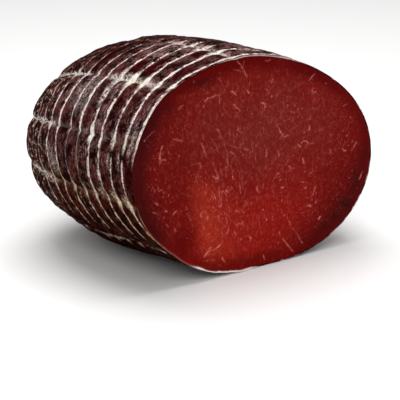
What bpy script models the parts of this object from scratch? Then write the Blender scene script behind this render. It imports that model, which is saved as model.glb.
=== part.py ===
"""Half of a dry-cured bresaola, lying on its side with its flat cut face towards -Y.

The loaf is one solid of meat. Its section is a leaning oval with a slight third lobe, its far
end is a blunt dome, and its skin keeps the marks of the net that it was cured in: a groove for
each hoop, a crease for each lengthwise strand, and a low pillow of meat in each mesh between
them. The underside is pressed flat where the loaf has lain.

Units are metres, +Z is up. The origin is at the middle of the bounding box, on its base.
"""

import bmesh
import bpy
import numpy as np

# Section of the loaf, an oval seen from the cut end
CUT_HALF_WIDTH = 0.0794
CUT_HALF_HEIGHT = 0.0570
CUT_LEAN = np.radians(-10.6)
THIRD_LOBE = 0.0165
THIRD_LOBE_TURN = -0.20

# Length of the loaf, and how it swells, turns and drifts on the way to the far end
LOAF_LENGTH = 0.130
END_FULLNESS = 4.5
SWELL = 0.063
TWIST = np.radians(5.2)
AXIS_DRIFT = -0.0132
AXIS_RISE = 0.0017
AXIS_DROP = 0.0072
PRESSED_DEPTH = 0.0007
PRESSED_BLEND = 0.0035

# Net marks: hoops across the loaf, strands along it
HOOP_PITCH = 0.0090
FIRST_HOOP = 0.0037
HOOP_LEAN = 0.0112
HOOP_WANDER = 0.0008
STRAND_COUNT = 12
STRAND_ANGLE = np.radians(136.5)
HOOP_DEPTH = 0.0004
STRAND_DEPTH = 0.0010
PILLOW_HEIGHT = 0.0004
HOOP_SHARPNESS = 3.0
STRAND_SHARPNESS = 5.0

# Where the marks are weak: beside the cut, and round the gathered tip of the far end
NET_AT_CUT = 0.3
NET_FULL_FROM = 0.035
NET_END_FULLNESS = 0.20
GATHER_DEPTH = 0.0025
GATHER_RADIUS = 0.014

# Broad unevenness of the meat, as waves round the loaf that turn on the way along it
LUMP_HEIGHT = 0.0009
LUMP_WAVES = ((2.0, 7.0, 0.0), (3.0, -5.0, 1.0))

# Where the mesh lines run inside each mesh of the net, as shares of its pitch
HOOP_LINES = (0.0, 0.27, 0.73)
STRAND_LINES = (0.0, 0.10, 0.28, 0.50, 0.72, 0.90)
HOOPS_BEFORE_CUT = 2
HOOPED_SHARE = 0.84
CAP_LINES = 4

# Fineness of the curve tables and of the slopes that are taken from them
SAMPLES = 2000
SLOPE_STEP = 0.0001

SHARP_EDGE = np.radians(50.0)
MEAT_COLOUR = (0.185, 0.021, 0.016, 1.0)
MEAT_ROUGHNESS = 0.42


def smooth_step(value, low, high):
    """Ease from 0 at low to 1 at high."""
    share = np.clip((value - low) / (high - low), 0.0, 1.0)
    return share * share * (3.0 - 2.0 * share)


def section_radius(angle, turn=0.0):
    """Distance from the axis to the skin, at an angle from +X towards +Z, with the oval turned."""
    slant = angle - CUT_LEAN - turn
    oval = np.hypot(np.cos(slant) / CUT_HALF_WIDTH, np.sin(slant) / CUT_HALF_HEIGHT)
    return (1.0 + THIRD_LOBE * np.cos(3.0 * (angle - THIRD_LOBE_TURN))) / oval


def section_table():
    """Angles round the section, with the share of its girth reached at each."""
    angle = np.linspace(0.0, 2.0 * np.pi, SAMPLES)
    radius = section_radius(angle)
    steps = np.hypot(np.diff(radius * np.cos(angle)), np.diff(radius * np.sin(angle)))
    girth = np.concatenate(([0.0], np.cumsum(steps)))
    return angle, girth / girth[-1]


def profile_table():
    """Fullness and depth of the loaf along its skin, from the cut to the tip."""
    turn = np.linspace(0.0, 0.5 * np.pi, SAMPLES)
    fullness = np.cos(turn)
    depth = LOAF_LENGTH * (1.0 - fullness**2) ** (1.0 / END_FULLNESS)
    width = 0.5 * (CUT_HALF_WIDTH + CUT_HALF_HEIGHT) * fullness
    along = np.concatenate(([0.0], np.cumsum(np.hypot(np.diff(depth), np.diff(width)))))
    return along, depth, fullness


ANGLES, GIRTHS = section_table()
ALONG, DEPTHS, FULLNESSES = profile_table()
SKIN_LENGTH = ALONG[-1]
TIP_HOOP = (SKIN_LENGTH - FIRST_HOOP) / HOOP_PITCH
AXIS_HEIGHT = -np.min(section_radius(ANGLES) * np.sin(ANGLES)) - PRESSED_DEPTH


def angle_of(strand):
    """Angle of a place round the section, counted in strands from the strand at STRAND_ANGLE."""
    start = np.interp(STRAND_ANGLE, ANGLES, GIRTHS)
    return np.interp((start + strand / STRAND_COUNT) % 1.0, GIRTHS, ANGLES)


def hoop_shift(hoop, angle):
    """How far a hoop lies behind its place at STRAND_ANGLE, since the hoops lean and wander."""
    lean = HOOP_LEAN * (np.sin(angle) - np.sin(STRAND_ANGLE))
    return lean + HOOP_WANDER * np.sin(3.0 * angle + 0.6 * hoop)


def along_of(hoop, angle):
    """Distance along the skin from the cut to a place counted in hoops."""
    straight = FIRST_HOOP + hoop * HOOP_PITCH
    fade = 1.0 - smooth_step(straight, 0.45 * SKIN_LENGTH, SKIN_LENGTH)
    return np.minimum(straight + fade * hoop_shift(hoop, angle), SKIN_LENGTH)


def bare_skin(along, angle):
    """Points of the smooth loaf, before the net marks and the flat underside."""
    depth = np.where(along > 0.0, np.interp(along, ALONG, DEPTHS), along)
    fullness = np.interp(along, ALONG, FULLNESSES)
    share = np.maximum(depth, 0.0) / LOAF_LENGTH
    waves = [np.sin(count * angle + turn * share + start) for count, turn, start in LUMP_WAVES]
    lump = LUMP_HEIGHT * np.prod(waves, axis=0)
    radius = fullness * (1.0 + SWELL * share) * (section_radius(angle, TWIST * share) + lump)
    height = AXIS_HEIGHT + AXIS_RISE * share - AXIS_DROP * share**2
    return np.stack((radius * np.cos(angle) + AXIS_DRIFT * share,
                     depth,
                     radius * np.sin(angle) + height), axis=-1)


def skin_normal(along, angle):
    """Outward directions of the smooth loaf."""
    start = np.minimum(along, SKIN_LENGTH - 2.0 * SLOPE_STEP)
    here = bare_skin(start, angle)
    ahead = bare_skin(start + SLOPE_STEP, angle)
    turned = bare_skin(start, angle + SLOPE_STEP)
    normal = np.cross(ahead - here, turned - here)
    return normal / np.linalg.norm(normal, axis=-1, keepdims=True)


def valley(phase, sharpness):
    """1 in a net mark, falling to 0 halfway to the next one."""
    gap = np.abs(phase - np.round(phase))
    return (1.0 - 2.0 * gap) ** sharpness


def net_relief(hoop, strand, along):
    """Height of the meat over the smooth loaf: grooves, creases and pillows."""
    groove = valley(hoop, HOOP_SHARPNESS)
    crease = valley(strand, STRAND_SHARPNESS)
    pillow = (1.0 - groove) * (1.0 - crease)
    relief = PILLOW_HEIGHT * pillow - HOOP_DEPTH * groove - STRAND_DEPTH * crease
    fullness = np.interp(along, ALONG, FULLNESSES)
    growth = NET_AT_CUT + (1.0 - NET_AT_CUT) * smooth_step(along, 0.0, NET_FULL_FROM)
    return relief * growth * smooth_step(fullness, NET_END_FULLNESS, 2.0 * NET_END_FULLNESS)


def skin(hoop, strand):
    """Points of the finished skin, at places counted in hoops and strands."""
    angle = angle_of(strand)
    along = along_of(hoop, angle)
    point = bare_skin(along, angle)
    pressed = 1.0 - smooth_step(point[..., 2], 0.0, PRESSED_BLEND)
    gather = GATHER_DEPTH * (1.0 - smooth_step(SKIN_LENGTH - along, 0.0, GATHER_RADIUS))
    relief = net_relief(hoop, strand, along) * (1.0 - pressed) - gather
    point = point + skin_normal(along, angle) * relief[..., None]
    point[..., 2] = np.maximum(point[..., 2], 0.0)
    return point


def hoop_lines():
    """Places of the mesh lines along the loaf, counted in hoops, up to the tip but without it."""
    hoop_total = int((SKIN_LENGTH * HOOPED_SHARE - FIRST_HOOP) / HOOP_PITCH)
    lines = [hoop + share for hoop in range(-HOOPS_BEFORE_CUT, hoop_total) for share in HOOP_LINES]
    cap = np.linspace(hoop_total, TIP_HOOP, CAP_LINES + 1)[:-1]
    return np.concatenate((lines, cap))


def strand_lines():
    """Places of the mesh lines round the loaf, counted in strands."""
    return np.array([strand + share for strand in range(STRAND_COUNT) for share in STRAND_LINES])


def shape_sphere(mesh):
    """Move the rings of a sphere onto the skin, its upper pole ahead of the cut."""
    hoops = np.append(hoop_lines(), TIP_HOOP)
    strands = strand_lines()
    bmesh.ops.create_uvsphere(mesh, u_segments=len(strands), v_segments=len(hoops), radius=1.0)
    start = np.array([vertex.co[:] for vertex in mesh.verts])
    ring = np.round(np.arccos(np.clip(start[:, 2], -1.0, 1.0)) * len(hoops) / np.pi).astype(int)
    turn = np.arctan2(start[:, 1], start[:, 0]) % (2.0 * np.pi)
    segment = np.round(turn * len(strands) / (2.0 * np.pi)).astype(int) % len(strands)
    points = skin(hoops[ring - 1], strands[segment])
    points[ring == 0] = (0.0, -LOAF_LENGTH, AXIS_HEIGHT)
    for vertex, point in zip(mesh.verts, points):
        vertex.co = point


def slice_front(mesh):
    """Cut the loaf flat at Y = 0, and close the cut with one flat face."""
    everything = mesh.verts[:] + mesh.edges[:] + mesh.faces[:]
    bmesh.ops.bisect_plane(mesh, geom=everything, dist=1e-5, plane_co=(0.0, 0.0, 0.0),
                           plane_no=(0.0, -1.0, 0.0), clear_outer=True)
    rim = [edge for edge in mesh.edges if edge.is_boundary]
    bmesh.ops.contextual_create(mesh, geom=rim)
    bmesh.ops.recalc_face_normals(mesh, faces=mesh.faces[:])


def centre_on_base(mesh):
    """Put the origin at the middle of the bounding box, on its base."""
    points = np.array([vertex.co[:] for vertex in mesh.verts])
    low, high = points.min(axis=0), points.max(axis=0)
    middle = (0.5 * (low[0] + high[0]), 0.5 * (low[1] + high[1]), low[2])
    bmesh.ops.translate(mesh, verts=mesh.verts[:], vec=[-value for value in middle])


def meat_material():
    """Deep wine-red cured meat."""
    material = bpy.data.materials.new("cured_meat")
    material.use_nodes = True
    shader = material.node_tree.nodes["Principled BSDF"]
    shader.inputs["Base Color"].default_value = MEAT_COLOUR
    shader.inputs["Roughness"].default_value = MEAT_ROUGHNESS
    shader.inputs["Metallic"].default_value = 0.0
    return material


def make_loaf(collection):
    """Build the half loaf as one closed solid."""
    mesh = bmesh.new()
    shape_sphere(mesh)
    slice_front(mesh)
    centre_on_base(mesh)
    data = bpy.data.meshes.new("bresaola")
    mesh.to_mesh(data)
    mesh.free()
    data.shade_smooth()
    data.set_sharp_from_angle(angle=SHARP_EDGE)
    data.materials.append(meat_material())
    loaf = bpy.data.objects.new("bresaola", data)
    collection.objects.link(loaf)
    return loaf


def main():
    """Empty the scene and build the bresaola."""
    for leftover in list(bpy.data.objects):
        bpy.data.objects.remove(leftover, do_unlink=True)
    collection = bpy.data.collections.new("cured_bresaola")
    bpy.context.scene.collection.children.link(collection)
    make_loaf(collection)


main()
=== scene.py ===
"""Looks of a half bresaola: its cured skin with the marks of the net, and its marbled cut face.

The loaf is a leaning oval that swells, turns and drifts from the cut to a blunt far end. Both
pieces are surfaces of that one formula, in metres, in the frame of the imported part.
"""

import logging
from dataclasses import dataclass, field
from enum import Enum
from typing import Any, Sequence, Union

import bpy
import numpy as np
from mathutils import Matrix, Vector

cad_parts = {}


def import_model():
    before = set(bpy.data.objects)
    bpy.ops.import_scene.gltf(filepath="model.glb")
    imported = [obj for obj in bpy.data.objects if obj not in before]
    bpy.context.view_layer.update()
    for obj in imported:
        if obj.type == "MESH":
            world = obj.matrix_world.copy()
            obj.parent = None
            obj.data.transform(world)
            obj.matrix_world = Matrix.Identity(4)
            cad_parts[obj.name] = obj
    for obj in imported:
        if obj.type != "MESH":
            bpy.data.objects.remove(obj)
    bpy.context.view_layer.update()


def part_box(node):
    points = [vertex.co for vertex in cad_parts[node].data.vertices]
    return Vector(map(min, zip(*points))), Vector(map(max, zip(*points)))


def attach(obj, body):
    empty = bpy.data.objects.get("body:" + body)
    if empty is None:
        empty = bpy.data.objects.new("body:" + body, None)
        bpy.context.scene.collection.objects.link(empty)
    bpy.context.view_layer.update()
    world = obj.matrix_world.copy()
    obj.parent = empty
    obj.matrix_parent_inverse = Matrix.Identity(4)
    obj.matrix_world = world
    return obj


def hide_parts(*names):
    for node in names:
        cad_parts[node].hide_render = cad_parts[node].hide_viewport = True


LOG = logging.getLogger("bresaola")
BODY = "root"
NODE = "bresaola"
AXIS_FROM_LEFT = 0.085091
MM = 0.001
HASH_PRIMES = (73856093, 19349663, 83492791)
HASH_SEED = 2654435
HASH_ROUNDS = ((13, 1274126177), (16, 668265263))
HASH_POSITIVE, HASH_LOW_BITS, HASH_LEVELS = 0x7FFFFFFF, 0xFFFFF, 1000003
LATTICE_START = 1000.0
SMALL_SQUARE = 1e-12
Array = np.ndarray
Colour = tuple[float, float, float]
Triple = tuple[float, float, float]


def ease(value: Array, low: float, high: float) -> Array:
    """Ease from 0 at low to 1 at high along a cubic.

    Args:
        value: Numbers to ease.
        low: Where the result leaves 0.
        high: Where the result reaches 1; it may lie below low.

    Returns:
        The eased numbers.
    """
    share = np.clip((value - low) / (high - low), 0.0, 1.0)
    return share * share * (3.0 - 2.0 * share)


def span(value: Array, low: float, full: float, fading: float, high: float) -> Array:
    """Ease up from 0 at low to 1 at full, and down again from fading to high."""
    return ease(value, low, full) * ease(value, high, fading)


def fall(distance: Array, width: float) -> Array:
    """A bell curve of a distance: 1 at 0, about a third at the width, and 0 far off."""
    return np.exp(-((distance / width) ** 2))


def bell(across: Array, up: Array, oval: Sequence[float]) -> Array:
    """A bell curve over an oval.

    Args:
        across: Places to the right.
        up: Places upwards.
        oval: The middle's two coordinates, then the two radii.

    Returns:
        1 in the middle, about a third on the oval, and 0 far off.
    """
    middle_x, middle_z, wide, tall = oval
    return np.exp(-(((across - middle_x) / wide) ** 2 + ((up - middle_z) / tall) ** 2))


def on_plane(across: Array, up: Array) -> Array:
    """Points in space from two flat coordinates, with 0 as the third."""
    return np.stack((across, up, across * 0.0), axis=-1)


def srgb(red: int, green: int, blue: int) -> Colour:
    """Turn a screen colour of 0 to 255 into linear light.

    Args:
        red: Red on the screen.
        green: Green on the screen.
        blue: Blue on the screen.

    Returns:
        The three linear values.
    """
    screen = np.array([red, green, blue]) / 255.0
    linear = np.where(screen <= 0.04045, screen / 12.92, ((screen + 0.055) / 1.055) ** 2.4)
    return tuple(float(part) for part in linear)


def put(name: str, data: Any) -> bpy.types.Object:
    """Make an object from a mesh, light or camera, and link it to the scene."""
    made = bpy.data.objects.new(name, data)
    bpy.context.scene.collection.objects.link(made)
    return made


@dataclass(frozen=True)
class Grain:
    """Smooth random lumps in space: values on a lattice, blended between its corners."""

    size: float
    seed: int
    octaves: int = 1
    seed_step: int = 17

    def _lattice(self, cell: Array, seed: int) -> Array:
        """Scatter each lattice corner's whole coordinates to a number from 0 to 1."""
        first, second, third = (cell[..., axis] * prime for axis, prime in enumerate(HASH_PRIMES))
        mixed = first ^ second ^ third ^ seed * HASH_SEED
        for shift, factor in HASH_ROUNDS:
            mixed = (mixed ^ (mixed >> shift)) * factor & HASH_POSITIVE
        return (mixed ^ (mixed >> 15) & HASH_LOW_BITS) % HASH_LEVELS / HASH_LEVELS

    def _layer(self, point: Array, size: float, seed: int) -> Array:
        """Blend the eight corners round each point with a cubic in each direction."""
        scaled = point / size + LATTICE_START
        cell = np.floor(scaled).astype(np.int64)
        share = ease(scaled - cell, 0.0, 1.0)
        total = np.zeros(point.shape[:-1])
        for corner in np.ndindex(2, 2, 2):
            step = np.array(corner)
            weight = np.prod(np.where(step == 1, share, 1.0 - share), axis=-1)
            total += weight * self._lattice(cell + step, seed)
        return total

    def at(self, point: Array) -> Array:
        """Sum the octaves, each half the size and half the height of the one before.

        Args:
            point: Points in metres, in the last axis.

        Returns:
            A number from 0 to 1 for each point, about 0.5 on average.
        """
        shares = 0.5 ** np.arange(self.octaves)
        layers = [
            share * self._layer(point, self.size * share, self.seed + self.seed_step * index)
            for index, share in enumerate(shares)
        ]
        return np.sum(layers, axis=0) / np.sum(shares)


@dataclass(frozen=True)
class LoafForm:
    """The smooth loaf: an oval section carried from the cut to the far end."""

    axis_x: float
    cut_y: float
    half_width: float = 0.0794
    half_height: float = 0.0570
    lean: float = float(np.radians(-10.6))
    third_lobe: float = 0.0165
    third_lobe_turn: float = -0.20
    length: float = 0.130
    end_fullness: float = 4.5
    swell: float = 0.063
    twist: float = float(np.radians(5.2))
    drift: float = -0.0132
    rise: float = 0.0017
    drop: float = 0.0072
    pressed_depth: float = 0.0007
    pressed_blend: float = 0.0035
    lump_height: float = 0.0009
    lump_waves: tuple[tuple[float, float, float], ...] = ((2.0, 7.0, 0.0), (3.0, -5.0, 1.0))
    samples: int = 4000
    slope_step: float = 0.0001

    def radius(self, angle: Array, turn: Union[Array, float] = 0.0) -> Array:
        """Distance from the axis to the skin: an oval with a third lobe, turned with the twist.

        Args:
            angle: Angles from +X towards +Z.
            turn: How far the oval is turned.

        Returns:
            The distances in metres.
        """
        slant = angle - self.lean - turn
        oval = np.hypot(np.cos(slant) / self.half_width, np.sin(slant) / self.half_height)
        return (1.0 + self.third_lobe * np.cos(3.0 * (angle - self.third_lobe_turn))) / oval

    def axis_height(self) -> float:
        """Height of the axis at the cut, which puts the lowest skin just under the floor."""
        angle = np.linspace(0.0, 2.0 * np.pi, self.samples)
        return float(-np.min(self.radius(angle) * np.sin(angle)) - self.pressed_depth)

    def girth_table(self) -> tuple[Array, Array]:
        """Angles round the section, with the share of the girth reached at each."""
        angle = np.linspace(0.0, 2.0 * np.pi, self.samples)
        reach = self.radius(angle)
        steps = np.hypot(np.diff(reach * np.cos(angle)), np.diff(reach * np.sin(angle)))
        girth = np.concatenate(([0.0], np.cumsum(steps)))
        return angle, girth / girth[-1]

    def profile_table(self) -> tuple[Array, Array, Array]:
        """Distance along the skin from the cut to the tip, with the depth and fullness there."""
        fullness = np.cos(np.linspace(0.0, 0.5 * np.pi, self.samples))
        depth = self.length * (1.0 - fullness**2) ** (1.0 / self.end_fullness)
        width = 0.5 * (self.half_width + self.half_height) * fullness
        along = np.concatenate(([0.0], np.cumsum(np.hypot(np.diff(depth), np.diff(width)))))
        return along, depth, fullness

    def skin_length(self) -> float:
        """Distance along the skin from the cut to the tip."""
        return float(self.profile_table()[0][-1])

    def fullness(self, along: Array) -> Array:
        """Share of the full section left at a distance along the skin."""
        table = self.profile_table()
        return np.interp(along, table[0], table[2])

    def point(self, along: Array, angle: Array) -> Array:
        """Points of the smooth skin: the section scaled by the fullness and set on the axis.

        Args:
            along: Distances along the skin from the cut.
            angle: Angles from +X towards +Z.

        Returns:
            Points in metres, in the part's frame.
        """
        table = self.profile_table()
        depth = np.interp(along, table[0], table[1])
        share = depth / self.length
        waves = [
            np.sin(count * angle + turn * share + start) for count, turn, start in self.lump_waves
        ]
        reach = self.radius(angle, self.twist * share) + self.lump_height * np.prod(waves, axis=0)
        reach = reach * np.interp(along, table[0], table[2]) * (1.0 + self.swell * share)
        height = self.axis_height() + self.rise * share - self.drop * share**2
        across = reach * np.cos(angle) + self.axis_x + self.drift * share
        return np.stack((across, self.cut_y + depth, reach * np.sin(angle) + height), axis=-1)

    def normal(self, along: Array, angle: Array) -> Array:
        """Outward directions of the smooth skin, from two short steps across it."""
        start = np.minimum(along, self.skin_length() - 2.0 * self.slope_step)
        here = self.point(start, angle)
        ahead = self.point(start + self.slope_step, angle) - here
        turned = self.point(start, angle + self.slope_step) - here
        outward = np.cross(ahead, turned)
        return outward / np.linalg.norm(outward, axis=-1, keepdims=True)


@dataclass(frozen=True)
class Net:
    """Where the net lay: hoops across the loaf and strands along it, each a little uneven.

    The stray rows say how far each of the first hoops lies off its even place on the side that
    is seen: in tenths of a millimetre, at the stray angles in degrees but the first and the
    last, where it is 0. The other sides wander in slow waves. The drift rows say how far each
    strand lies off its even place at the cut, and how far it drifts within the drift length, in
    shares of the gap between two strands.
    """

    form: LoafForm
    pitch: float = 0.0090
    first_hoop: float = 0.0039
    hoop_lean: float = 0.0112
    upright_at_cut: float = 0.8
    wander: float = 0.0008
    wander_waves: float = 3.0
    wander_turn: float = 0.6
    even_from: float = 0.45
    strands: int = 12
    strand_angle: float = float(np.radians(136.5))
    strand_gap: float = 0.036
    cut_fade: float = 0.024
    rounds: int = 20
    stray_angles: tuple[float, ...] = (
        (78.0, 94.0, 100.0, 106.0, 112.0, 118.0, 124.0, 130.0, 136.5, 143.0)
        + (150.0, 157.0, 163.0, 169.0, 175.0, 181.0, 187.0, 194.0, 201.0, 228.0)
    )
    stray_rows: tuple[tuple[int, ...], ...] = (
        (-11, -15, -19, -24, -22, -18, -16, -25, -27, -19, -7, 3, 9, 9, 6, 4, 4, 4),
        (8, 2, -10, -21, -23, -18, -16, -8, -6, -12, -6, -2, 4, 11, 17, 21, 18, 15),
        (8, -8, -16, -24, -23, -14, -17, -7, -3, -3, -6, -3, 0, 9, 14, 18, 18, 21),
        (5, -8, -13, -19, -21, -19, -16, -6, -5, 1, 4, 9, 8, 11, 9, 6, 6, 5),
        (24, 4, -5, -11, -11, -10, -7, -2, -4, -7, -12, -16, -12, -6, -2, 2, -3, -3),
        (6, -6, -11, -11, -11, -4, 2, 14, 12, 8, 1, -3, -11, -11, -12, -17, -13, -6),
        (15, 7, 1, -1, 2, 7, 4, 6, 2, -1, -7, -17, -13, -10, -25, -25, -23, -17),
        (26, 30, 32, 31, 29, 24, 18, 7, 1, 0, 4, 0, -8, -17, -25, -25, -23, -20),
        (20, 24, 28, 30, 30, 27, 20, 3, -2, -2, -7, -12, -10, -8, -25, -26, -33, -26),
        (5, 10, 15, 15, 15, 13, 10, 6, 0, -12, -20, -15, -6, 1, -10, -10, -10, -8),
        (0, 0, 0, 0, 0, 0, 0, 0, -2, -8, -10, -10, -7, -4, -5, -6, -6, -6),
    )
    drift_strands: tuple[float, ...] = (-2.0, -1.0, 0.0, 1.0, 2.0, 3.0, 4.0)
    drift_start: tuple[float, ...] = (0.0, 0.09, -0.01, 0.0, 0.11, 0.06, 0.0)
    drift_reach: tuple[float, ...] = (0.0, 0.0, -0.15, 0.0, 0.13, 0.08, 0.0)
    drift_length: float = 0.080

    def angle(self, strand: Array) -> Array:
        """Angle of a place round the section that is counted in strands."""
        angles, girths = self.form.girth_table()
        start = np.interp(self.strand_angle, angles, girths)
        return np.interp((start + strand / self.strands) % 1.0, girths, angles)

    def drifted(self, strand: Array, along: Array) -> Array:
        """Places counted in strands once the strands' own drift along the loaf is taken off."""
        wrapped = (strand + 2.0) % self.strands - 2.0
        start = np.interp(wrapped, self.drift_strands, self.drift_start)
        reach = np.interp(wrapped, self.drift_strands, self.drift_reach)
        return strand + start + reach * along / self.drift_length

    def stray(self, hoop: Array, angle: Array) -> Array:
        """How far the hoops stray on the side that is seen, blended straight between the rows."""
        rows = np.pad(np.array(self.stray_rows) / 10.0, ((0, 0), (1, 1))) * MM
        turns = np.radians(self.stray_angles)
        place = np.clip(hoop, 0.0, len(rows) - 1.001)
        row = place.astype(int)
        column = np.clip(np.searchsorted(turns, angle) - 1, 0, len(turns) - 2)
        share = np.clip((angle - turns[column]) / (turns[column + 1] - turns[column]), 0.0, 1.0)
        near, far = (
            (1.0 - share) * rows[line, column] + share * rows[line, column + 1]
            for line in (row, row + 1)
        )
        return (1.0 - place + row) * near + (place - row) * far

    def shift(self, hoop: Array, angle: Array) -> Array:
        """How far a hoop lies behind its place at the first strand.

        The hoops lean back at the top, less so beside the cut, and wander in slow waves.

        Args:
            hoop: Hoops counted from the cut.
            angle: Angles from +X towards +Z.

        Returns:
            Distances along the skin.
        """
        lean = self.hoop_lean * (np.sin(angle) - np.sin(self.strand_angle))
        beside_cut = ease(hoop * self.pitch, self.cut_fade, -self.pitch)
        lean = lean * np.where(lean > 0.0, 1.0 - self.upright_at_cut * beside_cut, 1.0)
        wave = np.sin(self.wander_waves * angle + self.wander_turn * hoop)
        return lean + self.wander * wave + self.stray(hoop, angle)

    def hoop(self, along: Array, strand: Array) -> Array:
        """Places along the skin counted in hoops: the shift is taken off in repeated half steps."""
        angle = self.angle(strand)
        length = self.form.skin_length()
        count = (along - self.first_hoop) / self.pitch
        for _ in range(self.rounds):
            straight = self.first_hoop + count * self.pitch
            fade = 1.0 - ease(straight, self.even_from * length, length)
            target = (along - fade * self.shift(count, angle) - self.first_hoop) / self.pitch
            count = 0.5 * (count + target)
        return count


class Wire:
    """A shader socket that takes part in Python expressions."""

    def __init__(self, graph: "Graph", socket: bpy.types.NodeSocket) -> None:
        """Keep the socket and the graph that it belongs to."""
        self.graph = graph
        self.socket = socket

    def _math(self, operation: str, *parts: Any) -> "Wire":
        """Join numbers and sockets with one Math node."""
        values = dict(enumerate(parts))
        return self.graph.wire("ShaderNodeMath", {"operation": operation}, values)

    def __add__(self, other: Any) -> "Wire":
        """Sum."""
        return self._math("ADD", self, other)

    __radd__ = __add__

    def __sub__(self, other: Any) -> "Wire":
        """Difference."""
        return self._math("SUBTRACT", self, other)

    def __rsub__(self, other: Any) -> "Wire":
        """Difference from a number, such as 1 - mask."""
        return self._math("SUBTRACT", other, self)

    def __mul__(self, other: Any) -> "Wire":
        """Product."""
        return self._math("MULTIPLY", self, other)

    __rmul__ = __mul__

    def __abs__(self) -> "Wire":
        """Size without its sign."""
        return self._math("ABSOLUTE", self)

    def high(self, other: Any) -> "Wire":
        """The larger of two."""
        return self._math("MAXIMUM", self, other)

    def low(self, other: Any) -> "Wire":
        """The smaller of two."""
        return self._math("MINIMUM", self, other)

    def gap(self) -> "Wire":
        """Distance to the nearest whole number, from 0 to 0.5."""
        return self._math("PINGPONG", self, 0.5)

    def ease(self, low: Any, high: Any) -> "Wire":
        """Ease from 0 at low to 1 at high; numbers or sockets."""
        values = {"Value": self, "From Min": low, "From Max": high}
        return self.graph.wire("ShaderNodeMapRange", {"interpolation_type": "SMOOTHSTEP"}, values)


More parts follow.
